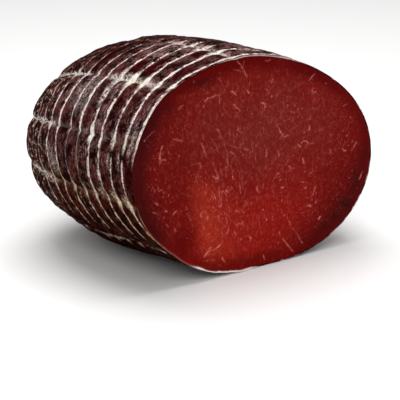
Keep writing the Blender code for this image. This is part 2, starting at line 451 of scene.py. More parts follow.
class Graph:
    """One material's nodes, built from Python expressions."""

    def __init__(self, name: str) -> None:
        """Start a material with a Principled shader and its output."""
        self.material = bpy.data.materials.new(name)
        self.material.use_nodes = True
        self.tree = self.material.node_tree
        self.shader = next(node for node in self.tree.nodes if node.type == "BSDF_PRINCIPLED")

    def node(self, kind: str, settings: dict[str, Any], values: dict[Any, Any]) -> bpy.types.Node:
        """Add a node.

        Args:
            kind: The node's type name.
            settings: Its properties, which are set first.
            values: Numbers, vectors or wires for its inputs, by name or by place.

        Returns:
            The node.
        """
        made = self.tree.nodes.new(kind)
        for name, value in settings.items():
            setattr(made, name, value)
        for name, value in values.items():
            self.feed(made.inputs[name], value)
        return made

    def wire(
        self, kind: str, settings: dict[str, Any], values: dict[Any, Any], output: int = 0
    ) -> Wire:
        """Add a node and take one of its outputs."""
        return Wire(self, self.node(kind, settings, values).outputs[output])

    def feed(self, socket: bpy.types.NodeSocket, value: Any) -> None:
        """Link a wire to a socket, or set the socket's own value."""
        if isinstance(value, Wire):
            self.tree.links.new(value.socket, socket)
        else:
            socket.default_value = value

    def mix(self, share: Any, first: Any, second: Any) -> Wire:
        """Blend two colours by a share, with a Mix node's colour sockets."""
        colours = [part if isinstance(part, Wire) else (*part, 1.0) for part in (first, second)]
        values = {0: share, 6: colours[0], 7: colours[1]}
        return self.wire("ShaderNodeMix", {"data_type": "RGBA"}, values, 2)

    def layered(self, colour: Wire, *layers: tuple[Wire, Any]) -> Wire:
        """Blend colours over a first one, in turn, each by its own share."""
        for share, tint in layers:
            colour = self.mix(share, colour, tint)
        return colour

    def place(self) -> Wire:
        """Object coordinates, which are the part's own metres."""
        return self.wire("ShaderNodeTexCoord", {}, {}, 3)

    def stretched(self, place: Wire, scale: Triple) -> Wire:
        """A vector times one number for each axis."""
        return self.wire("ShaderNodeVectorMath", {"operation": "MULTIPLY"}, {0: place, 1: scale})

    def celled(self, place: Wire, size: Triple) -> Wire:
        """Coordinates counted in cells of a given size."""
        return self.stretched(place, tuple(1.0 / part for part in size))

    def noise(self, place: Wire, size: float, detail: float = 2.0, roughness: float = 0.5) -> Wire:
        """Soft noise whose lumps are about a given size, in the units of place."""
        values = {"Vector": place, "Scale": 1.0 / size, "Detail": detail, "Roughness": roughness}
        return self.wire("ShaderNodeTexNoise", {}, values)

    def flecks(self, place: Wire, size: Triple, radius: float, share: float) -> Wire:
        """Small soft spots, one in each cell of scattered points, on a chosen share of the cells.

        Args:
            place: Coordinates in metres.
            size: Size of a cell along each axis; the spots are stretched alike.
            radius: Radius of a spot in cells.
            share: Share of the cells that has one.

        Returns:
            1 in the middle of the strongest spots, 0 between them.
        """
        values = {"Vector": self.celled(place, size), "Scale": 1.0}
        made = self.node("ShaderNodeTexVoronoi", {}, values)
        luck = self.wire("ShaderNodeSeparateColor", {}, {0: Wire(self, made.outputs["Color"])})
        strength = luck.ease(1.0 - share, 1.0)
        return strength * (1.0 - Wire(self, made.outputs["Distance"]).ease(0.0, radius))

    def moved(self, place: Wire, step: Any) -> Wire:
        """A vector plus another, or plus three numbers."""
        return self.wire("ShaderNodeVectorMath", {"operation": "ADD"}, {0: place, 1: step})

    def bent(self, place: Wire, size: float, reach: float) -> Wire:
        """Coordinates pushed about by noise, so that what is drawn in them bends."""
        values = {"Vector": place, "Scale": 1.0 / size, "Detail": 1.0}
        push = self.moved(self.wire("ShaderNodeTexNoise", {}, values, 1), (-0.5, -0.5, -0.5))
        return self.moved(place, self.stretched(push, (reach, reach, reach)))

    def threads(
        self, place: Wire, size: Triple, gate: Triple, width: float, share: float, layer: float
    ) -> Wire:
        """Thin bent threads: where one noise crosses its middle, cut short by another.

        Args:
            place: Coordinates in metres.
            size: Reach of the threads' bends along each axis.
            gate: Reach of the pieces that are left of them.
            width: Width of a thread in shares of the noise's height.
            share: Where the second noise starts to let them through.
            layer: Draws other threads for another number.

        Returns:
            1 on the middle of a thread, 0 between them.
        """
        path = self.moved(self.celled(place, size), (0.0, 0.0, layer))
        pieces = self.moved(self.celled(place, gate), (9.0, 5.0, layer))
        thread = 1.0 - abs(self.noise(path, 1.0, 1.0) - 0.5).ease(0.0, width)
        return thread * self.noise(pieces, 1.0, 1.0).ease(share, share + 0.1)

    def attribute(self, name: str) -> Wire:
        """A number that the mesh holds at each vertex."""
        return self.wire("ShaderNodeAttribute", {"attribute_name": name}, {}, 2)

    def map_pair(self, name: str) -> tuple[Wire, Wire, Wire]:
        """A map of the piece, as a vector and as its two numbers."""
        vector = self.wire("ShaderNodeUVMap", {"uv_map": name}, {})
        split = self.node("ShaderNodeSeparateXYZ", {}, {"Vector": vector})
        return vector, Wire(self, split.outputs[0]), Wire(self, split.outputs[1])

    def bump(self, height: Wire, distance: float, strength: float = 1.0) -> None:
        """Press a height pattern into the shader's normal."""
        values = {"Height": height, "Distance": distance, "Strength": strength}
        self.feed(self.shader.inputs["Normal"], self.wire("ShaderNodeBump", {}, values))

    def finish(self, **values: Any) -> bpy.types.Material:
        """Set the shader's inputs, named with _ for spaces, and give the material back."""
        for name, value in values.items():
            title = name.replace("_", " ").title().replace("Ior", "IOR")
            self.feed(self.shader.inputs[title], value)
        return self.material


@dataclass(frozen=True)
class CutMeat:
    """Finish of the cut face: wine-red lean meat, fine pale fat and a deeper, drier rim."""

    wine: Colour = srgb(108, 9, 5)
    bright: Colour = srgb(142, 15, 9)
    deep: Colour = srgb(90, 3, 3)
    # painted sheen: a greyer red over the top of the cut stands for a soft reflection
    painted_sheen: Colour = srgb(118, 31, 26)
    warm: Colour = srgb(170, 48, 27)
    purple: Colour = srgb(42, 7, 8)
    fat: Colour = srgb(222, 124, 114)
    casing: Colour = srgb(236, 198, 186)
    streak_size: float = 0.7 * MM
    grain_size: float = 0.6 * MM
    mottle_size: float = 2.2 * MM
    blotch_size: float = 14.0 * MM
    bend_size: float = 2.6 * MM
    bend_reach: float = 2.2 * MM
    speck_cell: Triple = (2.0 * MM, 2.4 * MM, 1.0)
    thread_rows: tuple[tuple[Any, ...], ...] = (
        ((1.5 * MM, 2.8 * MM, 1.0), (1.2 * MM, 2.0 * MM, 1.0), 0.04, 0.58, 0.0),
        ((1.1 * MM, 1.5 * MM, 1.0), (0.9 * MM, 1.1 * MM, 1.0), 0.05, 0.60, 3.0),
        ((1.6 * MM, 12.0 * MM, 1.0), (1.3 * MM, 5.0 * MM, 1.0), 0.035, 0.52, 6.0),
    )
    bump_height: float = 0.08 * MM
    specular: float = 0.02

    def fine_fat(self, graph: Graph, fibre: Wire, blotch: Wire) -> Wire:
        """The finest marbling: specks, short squiggles, and streaks along the fibres."""
        bent = graph.bent(fibre, self.bend_size, self.bend_reach)
        specks = graph.flecks(bent, self.speck_cell, 0.22, 0.45)
        squiggles, small, long = (graph.threads(bent, *row) for row in self.thread_rows)
        strokes = (squiggles * 0.42).high(small * 0.26)
        strokes = strokes.high(long * 0.62 * graph.attribute("streaked")).high(specks * 0.22)
        return strokes * graph.attribute("marbled") * (0.4 + 1.1 * blotch.ease(0.3, 0.65))

    def material(self) -> bpy.types.Material:
        """Build the material from the face's own numbers and its map along the fibres.

        The red is brighter low in the middle, greyed above by a painted sheen, warm along a seam,
        and deep or purple at the rim, with painted shade at the sides. Fibres and a soft mottle run
        through it, and the fat lies over it.
        """
        graph = Graph("cut_meat")
        number = graph.attribute
        place = graph.place()
        fibre, _, _ = graph.map_pair("fibre")
        streaks = graph.noise(graph.stretched(fibre, (1.0, 0.14, 1.0)), self.streak_size, 3.0, 0.6)
        blotch = graph.noise(place, self.blotch_size, 3.0)
        grain = graph.noise(place, self.grain_size, 2.0, 0.6)
        mottle = graph.noise(place, self.mottle_size, 3.0, 0.6)
        lean = (1.0 - streaks.ease(0.2, 0.55)).high(0.8 - 0.8 * mottle.ease(0.36, 0.56))
        drawn = number("fat") * (0.16 + 0.95 * grain.ease(0.34, 0.60))
        fat = self.fine_fat(graph, fibre, blotch).high(drawn).low(1.0)
        uneven = 0.7 + 0.4 * blotch
        colour = graph.layered(
            graph.mix(blotch.ease(0.3, 0.72) * 0.35 + number("bright"), self.wine, self.bright),
            # painted sheen over the upper part of the cut
            (number("painted_sheen"), self.painted_sheen),
            (number("warm") * uneven, self.warm),
            (streaks.ease(0.5, 0.85) * 0.13, self.fat),
            (lean * 0.28, self.deep),
            (mottle.ease(0.52, 0.70) * 0.08, self.fat),
            # the drier rim band, with painted shade at the sides
            (number("rim_band_and_shade") * (0.8 + 0.3 * blotch), self.deep),
            (number("purple") * uneven, self.purple),
            (fat, self.fat),
            (number("casing") * (0.4 + 0.9 * grain), self.casing),
        )
        graph.bump(streaks * 0.30 + grain * 0.4 + fat * 0.4, self.bump_height, 0.5)
        rough = 0.42 + 0.14 * blotch + 0.1 * fat
        return graph.finish(base_color=colour, roughness=rough, specular_ior_level=self.specular)


@dataclass(frozen=True)
class SkinNoise:
    """What the skin's finish is drawn with: noises, and distances to the net in millimetres."""

    brushed: Wire
    streak: Wire
    broken: Wire
    ragged: Wire
    patch: Wire
    speck: Wire
    hoop_gap: Wire
    strand_gap: Wire


@dataclass(frozen=True)
class CuredSkin:
    """Finish of the skin: dry purplish brown, streaky bloom, and white marks where the net lay."""

    dark: Colour = srgb(33, 7, 6)
    plum: Colour = srgb(74, 22, 21)
    ruddy: Colour = srgb(50, 1, 3)
    dust: Colour = srgb(152, 124, 121)
    spot: Colour = srgb(190, 158, 142)
    # painted shade in crevices and at the feet of the lines; also the colour of the dark grit
    crevice_shade: Colour = srgb(20, 2, 1)
    bloom: Colour = srgb(238, 214, 209)
    chalk: Colour = srgb(236, 233, 222)
    # the lines' colour where painted shade falls underneath: a darker, warmer straw; also a straw
    # tint in places
    straw_and_shade: Colour = srgb(206, 168, 126)
    casing: Colour = srgb(252, 232, 226)
    torn: Colour = srgb(190, 96, 66)
    # painted shade underneath: multiplies the skin's colour, darker and warmer as if lit by warm
    # bounced light
    low_shade: Colour = (0.56, 0.27, 0.14)
    hoop_gap: float = 9.0
    strand_gap: float = 36.0
    ragged_size: float = 1.8 * MM
    patch_size: float = 6.0 * MM
    speck_size: float = 1.25 * MM
    bump_height: float = 0.40 * MM
    specular: float = 0.004

    def noises(self, graph: Graph) -> SkinNoise:
        """Lay out the noises; the streaks and breaks follow the hoops, and bend the gaps too."""
        place = graph.place()
        net, strand, hoop = graph.map_pair("net")
        brushed = graph.stretched(net, (self.strand_gap, self.hoop_gap, 1.0))
        ragged = graph.noise(place, self.ragged_size, 3.0, 0.65)
        speck = graph.noise(place, self.speck_size, 3.0, 0.62)
        bend = ragged - 0.5
        return SkinNoise(
            brushed=brushed,
            streak=graph.noise(graph.stretched(brushed, (0.16, 1.0, 1.0)), 0.7, 3.0, 0.6),
            broken=graph.noise(graph.stretched(brushed, (1.0, 0.8, 1.0)), 4.0, 3.0, 0.65),
            ragged=ragged,
            patch=graph.noise(place, self.patch_size, 3.0, 0.55),
            speck=speck,
            hoop_gap=(hoop + bend * 0.20 + (speck - 0.5) * 0.12).gap() * self.hoop_gap,
            strand_gap=(strand + bend * 0.07).gap() * self.strand_gap,
        )

    def dusty(self, graph: Graph, noise: SkinNoise) -> Wire:
        """Dust in streaks and grains, in patches."""
        dust = noise.streak.ease(0.46, 0.61) * 0.80 + noise.speck.ease(0.48, 0.64) * 0.50
        return noise.patch.ease(0.40, 0.58) * dust * graph.attribute("dust") * 0.9

    def painted_shade_and_grit(self, graph: Graph, noise: SkinNoise) -> Wire:
        """Painted shade in thin crevices and at the feet of the lines, and dark grit."""
        crevice_shade = graph.threads(noise.brushed, (6.0, 1.7, 1.0), (5.0, 1.6, 1.0), 0.05, 0.47, 7.0)
        # painted shadow at the feet of each line
        beside = noise.hoop_gap.ease(0.8, 1.3) * (1.0 - noise.hoop_gap.ease(1.3, 3.0))
        beside = beside * noise.ragged.ease(0.42, 0.54) * 0.8
        grit = (1.0 - noise.speck.ease(0.37, 0.48)) * 0.5
        bare = 1.0 - 0.6 * graph.attribute("ruddy")
        return (crevice_shade * 0.7).high(beside).high(grit) * bare

    def flakes(self, graph: Graph, noise: SkinNoise) -> Wire:
        """Pale flakes of uneven strength, where the skin is spotted."""
        flakes = graph.noise(graph.stretched(noise.brushed, (0.5, 1.0, 1.0)), 2.3, 3.0, 0.7)
        flakes = flakes.ease(0.54, 0.61) * noise.ragged.ease(0.42, 0.56)
        uneven = 0.35 + 0.95 * noise.speck.ease(0.40, 0.54)
        return flakes * uneven * graph.attribute("spotted") * 1.1

    def lines(self, graph: Graph, noise: SkinNoise) -> Wire:
        """The net's lines, thinned and broken by noise, with bloom brushed along them."""
        mark = graph.attribute("mark")
        width = 0.10 + mark * (0.10 + 0.88 * noise.broken.ease(0.36, 0.64))
        core = (1.0 - noise.hoop_gap.ease(width * 0.55, width + 0.30)) * (mark * 1.7).low(1.0)
        core = core * (0.28 + 0.95 * noise.broken.ease(0.36, 0.50)).low(1.0)
        core = core * (0.5 + 0.78 * noise.speck.ease(0.36, 0.52))
        halo = (1.0 - noise.hoop_gap.ease(0.3, 3.2)) * mark * noise.streak.ease(0.5, 0.66) * 0.4
        return core.high(halo)

    def chalky(self, graph: Graph, noise: SkinNoise) -> Wire:
        """Chalky bloom: along the creases, in brushed stains and on the pads."""
        reach = 0.8 + 2.6 * noise.patch.ease(0.40, 0.60)
        crease = (1.0 - noise.strand_gap.ease(0.15, reach)) * graph.attribute("crease_mark")
        crease = crease * (0.25 + 0.95 * noise.ragged.ease(0.4, 0.56))
        stain = graph.attribute("stain") * noise.speck.ease(0.40, 0.56)
        stain = stain * (0.45 + 0.65 * noise.ragged.ease(0.42, 0.56))
        pad = graph.attribute("pad") * (0.5 + 0.75 * noise.speck.ease(0.36, 0.56))
        return crease.high(stain).high(pad)

    def material(self) -> bpy.types.Material:
        """Build the material from the net's map and the skin's own numbers.

        The skin is dark, with plum patches, bare red ones, streaky dust, dark grit, painted shade
        in thin crevices and beside the lines, painted shade underneath and over the far top, and
        pale flakes. The net's lines and the bloom lie over it, straw-tinted in places and where
        they lie in painted shade, and the casing's edge at the cut over both.
        """
        graph = Graph("cured_skin")
        number = graph.attribute
        noise = self.noises(graph)
        bare = number("ruddy") * (0.45 + 0.9 * noise.ragged.ease(0.38, 0.58))
        shade_and_grit = self.painted_shade_and_grit(graph, noise)
        chalky = self.chalky(graph, noise)
        white = self.lines(graph, noise).high(chalky).low(1.0)
        tint = graph.mix(chalky, self.bloom, self.chalk)
        edge = graph.mix(number("torn"), self.casing, self.torn)
        colour = graph.layered(
            graph.mix(noise.patch.ease(0.42, 0.62), self.dark, self.plum),
            (bare, self.ruddy),
            (self.dusty(graph, noise), self.dust),
            # painted shade in crevices and beside the lines, with dark grit
            (shade_and_grit, self.crevice_shade),
        )
        colour = graph.layered(
            colour,
            # painted shade underneath, over the far top and on the left of the far end
            (number("low"), graph.stretched(colour, self.low_shade)),
            (self.flakes(graph, noise), self.spot),
            # lines and bloom, a darker straw where they lie in painted shade
            (white, graph.mix(number("straw_and_shade"), tint, self.straw_and_shade)),
            (number("casing") * (0.4 + noise.speck), edge),
        )
        height = white * 0.6 + noise.ragged * 0.6 + noise.speck * 0.6 + noise.streak * 0.3
        graph.bump(height - shade_and_grit * 0.5, self.bump_height, 0.7)
        rough = 0.55 + 0.3 * white + 0.12 * noise.speck
        return graph.finish(base_color=colour, roughness=rough, specular_ior_level=self.specular)


@dataclass(frozen=True)
class PaleFloor:
    """Finish of the floor: a plain pale matt sheet."""

    colour: Colour = (0.90, 0.895, 0.89)

    def material(self) -> bpy.types.Material:
        """Build the matt material."""
        graph = Graph("pale_floor")
        return graph.finish(base_color=(*self.colour, 1.0), roughness=0.75)


@dataclass
class Sheet:
    """Vertices and faces of one piece, with the numbers that its finish reads."""

    points: Array
    faces: list[Array]
    numbers: dict[str, Array] = field(default_factory=dict)
    maps: dict[str, Array] = field(default_factory=dict)
    sharp: float = float(np.radians(60.0))

    def build(self, name: str, material: bpy.types.Material) -> bpy.types.Object:
        """Make the mesh object.

        Args:
            name: Name of the piece.
            material: Its finish.

        Returns:
            The object, at the origin, shaded smooth.
        """
        mesh = bpy.data.meshes.new(name)
        corners = np.concatenate([block.ravel() for block in self.faces]).astype(np.int32)
        counts = np.concatenate([np.full(len(block), block.shape[1]) for block in self.faces])
        starts = np.concatenate(([0], np.cumsum(counts)[:-1])).astype(np.int32)
        mesh.vertices.add(len(self.points))
        mesh.vertices.foreach_set("co", self.points.astype(np.float32).ravel())
        mesh.loops.add(len(corners))
        mesh.loops.foreach_set("vertex_index", corners)
        mesh.polygons.add(len(counts))
        mesh.polygons.foreach_set("loop_start", starts)
        mesh.polygons.foreach_set("loop_total", counts.astype(np.int32))
        mesh.update(calc_edges=True)
        for title, values in self.numbers.items():
            layer = mesh.attributes.new(title, "FLOAT", "POINT")
            layer.data.foreach_set("value", values.astype(np.float32))
        for title, values in self.maps.items():
            layer = mesh.uv_layers.new(name=title)
            layer.data.foreach_set("uv", values.astype(np.float32).ravel())
        mesh.validate()
        mesh.shade_smooth()
        mesh.set_sharp_from_angle(angle=self.sharp)
        mesh.materials.append(material)
        return put(name, mesh)


class Stretch(Enum):
    """Named stretches in metres: where each starts and where it is full."""

    def over(self, place: Array) -> Array:
        """0 before the stretch, eased to 1 at its end."""
        return ease(place, *self.value)


class Lot(Enum):
    """Patches by lot: size of a lump, seed, and the noise where one starts and where it is full."""

    CREASED = (0.014, 61, 0.48, 0.80)
    STAINED = (0.009, 73, 0.56, 0.76)
    DUSTY = (0.016, 81, 0.30, 0.70)
    SPOTTED = (0.013, 83, 0.50, 0.80)
    RUDDY = (0.010, 91, 0.62, 0.80)
    GATHERED = (0.007, 97, 0.45, 0.75)

    def over(self, point: Array) -> Array:
        """1 in a patch, eased to 0 beside it."""
        size, seed, low, high = self.value
        return ease(Grain(size, seed, 2).at(point), low, high)


@dataclass
class NetMarks:
    """What the net left on the skin: lines under its hoops, pads at crossings, bloom in creases.

    The tables hold what the side that is seen most shows; the other sides are drawn by lot.
    They count hoops from the cut and strands from the first, downwards.

    - line_rows: strength of each hoop's line in the gaps between strands that line_cells names.
    - pad_rows: for a hoop and a strand, strength, half length along the hoop and half width.
    - crease_rows: strand, where a stretch of it starts and stops from the cut, and strength.
    - gap_rows: hoop, middle of a gap in its line in strands, half length and depth.
    - stain_rows: middle in hoops and strands, reach in hoops and strands, and strength.
    - patches: distance from the cut, angle in degrees, reach of both, and strength.
    """

    net: Net
    hoops: int = 24
    seed: int = 5
    blend: float = 0.10
    gap_blend: float = 0.03
    crease_blend: float = 0.004
    usual_pad: float = 0.30
    usual_line: tuple[float, float] = (0.25, 1.0)
    usual_pad_length: tuple[float, float] = (0.003, 0.0055)
    usual_pad_width: tuple[float, float] = (0.0011, 0.0016)
    patch_grain: Grain = Grain(0.0035, 93, 2)
    line_cells: tuple[int, ...] = (10, 11, 0, 1, 2, 3)
    line_rows: tuple[tuple[float, ...], ...] = (
        (0.70, 0.70, 0.70, 0.05, 0.40, 0.30),
        (0.62, 0.85, 0.72, 0.50, 0.50, 0.35),
        (0.62, 0.72, 0.68, 0.45, 0.45, 0.30),
        (0.55, 0.62, 0.78, 0.95, 0.55, 0.30),
        (0.55, 0.60, 0.60, 0.85, 0.50, 0.30),
        (0.42, 0.50, 0.95, 0.15, 0.50, 0.35),
        (0.34, 0.45, 0.45, 0.22, 0.50, 0.30),
        (0.30, 0.38, 0.62, 0.50, 0.50, 0.30),
        (0.28, 0.36, 0.56, 0.48, 0.50, 0.30),
        (0.25, 0.30, 0.36, 0.34, 0.42, 0.30),
        (0.22, 0.25, 0.22, 0.26, 0.35, 0.30),
    )
    pad_rows: dict[tuple[int, int], tuple[float, float, float]] = field(default_factory=lambda: {
        (0, 0): (1.10, 0.0034, 0.0018),
        (1, 0): (0.80, 0.0042, 0.0016),
        (2, 0): (1.25, 0.0050, 0.0020),
        (3, 0): (1.45, 0.0064, 0.0023),
        (4, 0): (0.50, 0.0085, 0.0020),
        (5, 0): (0.35, 0.0040, 0.0014),
        (6, 0): (0.45, 0.0045, 0.0016),
        (7, 0): (0.50, 0.0040, 0.0014),
        (8, 0): (0.55, 0.0045, 0.0018),
        (0, 1): (0.00, 0.0030, 0.0014),
        (1, 1): (0.75, 0.0058, 0.0013),
        (2, 1): (0.80, 0.0055, 0.0013),
        (3, 1): (0.10, 0.0040, 0.0012),
        (4, 1): (1.25, 0.0064, 0.0019),
        (5, 1): (0.20, 0.0040, 0.0012),
        (6, 1): (0.20, 0.0040, 0.0012),
        (1, 2): (0.95, 0.0052, 0.0019),
        (2, 2): (0.95, 0.0050, 0.0018),
        (3, 2): (0.20, 0.0040, 0.0012),
        (4, 2): (0.65, 0.0045, 0.0014),
        (6, 2): (0.55, 0.0045, 0.0015),
        (1, 11): (0.80, 0.0060, 0.0020),
        (2, 11): (0.75, 0.0070, 0.0024),
        (3, 11): (0.70, 0.0055, 0.0020),
        (4, 11): (0.55, 0.0050, 0.0018),
    })
    crease_rows: tuple[tuple[int, float, float, float], ...] = (
        (0, 0.018, 0.046, 0.75),
        (0, 0.064, 0.105, 0.60),
        (1, 0.066, 0.110, 0.85),
        (1, 0.000, 0.066, 0.08),
        (2, 0.070, 0.110, 0.80),
        (2, 0.000, 0.074, 0.10),
        (11, 0.006, 0.052, 0.42),
        (11, 0.050, 0.110, 0.15),
    )
    gap_rows: tuple[tuple[float, float, float, float], ...] = (
        (0.0, 0.13, 0.05, 0.9),
        (1.0, 1.16, 0.12, 1.0),
        (2.0, 1.14, 0.12, 1.0),
        (4.0, 1.08, 0.05, 1.0),
        (2.0, 0.08, 0.06, 1.0),
        (6.0, 1.35, 0.25, 0.5),
        (1.0, 1.86, 0.05, 1.0),
        (3.0, -0.12, 0.06, 0.7),
        (4.0, 0.30, 0.28, 0.8),
    )
    stain_rows: tuple[tuple[float, float, float, float, float], ...] = (
        (4.08, 0.26, 0.17, 0.30, 1.00),
        (1.0, 0.90, 0.16, 0.16, 0.90),
        (0.45, 1.00, 0.22, 0.26, 0.45),
        (2.1, 0.98, 0.16, 0.14, 0.70),
        (4.0, 0.97, 0.15, 0.14, 0.90),
        (3.5, 0.16, 0.12, 0.10, 0.60),
        (3.3, 0.30, 0.05, 0.16, 0.50),
        (2.5, -0.02, 0.45, 0.06, 0.70),
        (1.5, 0.00, 0.40, 0.06, 0.60),
        (3.5, -0.04, 0.40, 0.08, 0.60),
        (1.3, 1.28, 0.10, 0.12, 0.70),
        (2.2, 1.32, 0.10, 0.10, 0.50),
        (1.2, 1.95, 0.36, 0.12, 0.90),
        (2.2, 1.92, 0.32, 0.12, 0.80),
        (3.3, 1.90, 0.26, 0.10, 0.50),
        (7.6, 1.55, 0.45, 0.20, 0.35),
        (5.6, 0.40, 1.00, 0.38, 0.25),
        (8.6, 2.02, 1.10, 0.09, 0.85),
        (7.3, 1.72, 0.40, 0.16, 0.45),
        (9.8, 1.94, 0.60, 0.10, 0.70),
        (2.5, -1.02, 0.40, 0.09, 0.50),
        (1.5, -1.02, 0.40, 0.09, 0.50),
    )
    patches: tuple[tuple[float, float, float, float, float], ...] = (
        (0.0250, 128.0, 0.0030, 6.0, 1.0),
        (0.0345, 130.5, 0.0036, 4.5, 1.0),
        (0.0640, 131.0, 0.0045, 7.0, 1.1),
        (0.0070, 129.0, 0.0030, 7.0, 0.8),
        (0.0165, 111.5, 0.0030, 5.0, 0.8),
        (0.0080, 141.5, 0.0030, 4.0, 0.6),
        (0.0440, 124.0, 0.0050, 4.0, 0.6),
        (0.0400, 158.5, 0.0028, 3.5, 0.7),
        (0.0140, 149.0, 0.0040, 6.0, 0.5),
        (0.0240, 147.0, 0.0035, 6.0, 0.4),
        (0.0030, 172.0, 0.0040, 8.0, 0.8),
    )

    def _near(self, hoop: Array, strand: Array) -> tuple[Array, Array]:
        """The nearest hoop, and the nearest strand counted on the net."""
        row = np.clip(np.round(hoop), 0, self.hoops - 1).astype(int)
        return row, np.mod(np.round(strand), self.net.strands).astype(int)

    def lines(self, hoop: Array, strand: Array) -> Array:
        """Strength of the nearest hoop's line: one value in each mesh, eased across the strands."""
        chance = np.random.default_rng(self.seed)
        table = chance.uniform(*self.usual_line, (self.hoops, self.net.strands))
        rows = np.array(self.line_rows)
        table[: len(rows), list(self.line_cells)] = rows
        row, after = self._near(hoop, strand)
        before = (after - 1) % self.net.strands
        share = ease(strand - np.round(strand), -self.blend, self.blend)
        strength = (1.0 - share) * table[row, before] + share * table[row, after]
        for line, middle, reach, depth in self.gap_rows:
            away = np.abs(self._turned(strand) - middle)
            inside = ease(away, reach + self.gap_blend, reach - self.gap_blend)
            strength = strength * (1.0 - depth * (row == line) * inside)
        return strength

    def _turned(self, strand: Array) -> Array:
        """Strands counted from half way round before the first to half way round after it."""
        half = 0.5 * self.net.strands
        return np.mod(strand + half, self.net.strands) - half

    def stains(self, hoop: Array, strand: Array) -> Array:
        """Brushed bloom on the side that is seen: soft ovals in hoops and strands."""
        total = np.zeros(np.shape(hoop))
        for row, middle, along, around, strength in self.stain_rows:
            away = np.hypot((hoop - row) / along, (self._turned(strand) - middle) / around)
            total = np.maximum(total, strength * ease(away, 1.3, 0.3))
        return total

    def pads(self, hoop: Array, strand: Array) -> Array:
        """A lens at each crossing, long along its hoop: 1 inside, eased to 0 at its edge."""
        chance = np.random.default_rng(self.seed + 1)
        shape = (self.hoops, self.net.strands)
        strength = self.usual_pad * chance.uniform(0.0, 2.2, shape)
        around = chance.uniform(*self.usual_pad_length, shape)
        along = chance.uniform(*self.usual_pad_width, shape)
        table = np.stack((strength, around, along), axis=-1)
        for place, values in self.pad_rows.items():
            table[place] = values
        row, column = self._near(hoop, strand)
        strength, around, along = np.moveaxis(table[row, column], -1, 0)
        aside = (strand - np.round(strand)) * self.net.strand_gap / around
        ahead = (hoop - row) * self.net.pitch / along
        return strength * ease(np.hypot(aside, ahead), 1.2, 0.5)

    def creases(self, along: Array, strand: Array, point: Array) -> Array:
        """Strength of the bloom along the nearest strand."""
        nearest = np.mod(np.round(strand), self.net.strands).astype(int)
        strength = 0.6 * Lot.CREASED.over(point)
        blend = self.crease_blend
        for column, start, stop, value in self.crease_rows:
            inside = span(along, start - blend, start + blend, stop - blend, stop + blend)
            inside = inside * (nearest == column)
            strength = (1.0 - inside) * strength + inside * value
        return strength

    def ruddy(self, along: Array, degrees: Array, point: Array) -> Array:
        """Bare dark-red patches without bloom: ovals at their places, and by lot elsewhere."""
        unseen = ease(np.cos(np.radians(degrees)), -0.15, 0.1)
        total = 0.7 * unseen * Lot.RUDDY.over(point)
        torn = 0.9 * (self.patch_grain.at(point) - 0.5)
        for place, turn, reach, spread, strength in self.patches:
            away = np.hypot((along - place) / reach, (degrees - turn) / spread) + torn
            total = np.maximum(total, strength * ease(away, 1.25, 0.75))
        return total


class Arc(Enum):
    """Stretches round the loaf in degrees: where each starts, is full, starts to fade and ends."""

    ABOVE = (56.0, 66.0, 104.0, 116.0)
    SHADED_FAR_TOP = (70.0, 100.0, 130.0, 142.0)
    BESIDE = (136.0, 144.0, 165.0, 172.0)
    SHADED_UNDERSIDE = (160.0, 194.0, 260.0, 300.0)
    STRAW_IN_SHADE = (172.0, 186.0, 200.0, 250.0)
    LEFT = (186.0, 198.0, 228.0, 234.0)
    FADED = (198.0, 212.0, 262.0, 290.0)
    TORN = (226.0, 232.0, 268.5, 272.0)

    def over(self, degrees: Array) -> Array:
        """1 in the stretch, eased to 0 beside it."""
        return span(degrees, *self.value)


class Depth(Stretch):
    """Stretches along the skin, counted from the cut."""

    AT_CUT = (0.020, 0.0)
    AT_RIM = (0.0012, 0.0004)
    WRINKLED = (0.0, 0.006)
    SHADED_FAR_TOP = (0.040, 0.070)
    LUMPY = (0.055, 0.090)
    FAR_STRAW = (0.060, 0.076)
    FAR_SHADED_DUST = (0.060, 0.085)
    FAR_SHADE = (0.060, 0.095)
    SPOTTED = (0.062, 0.084)


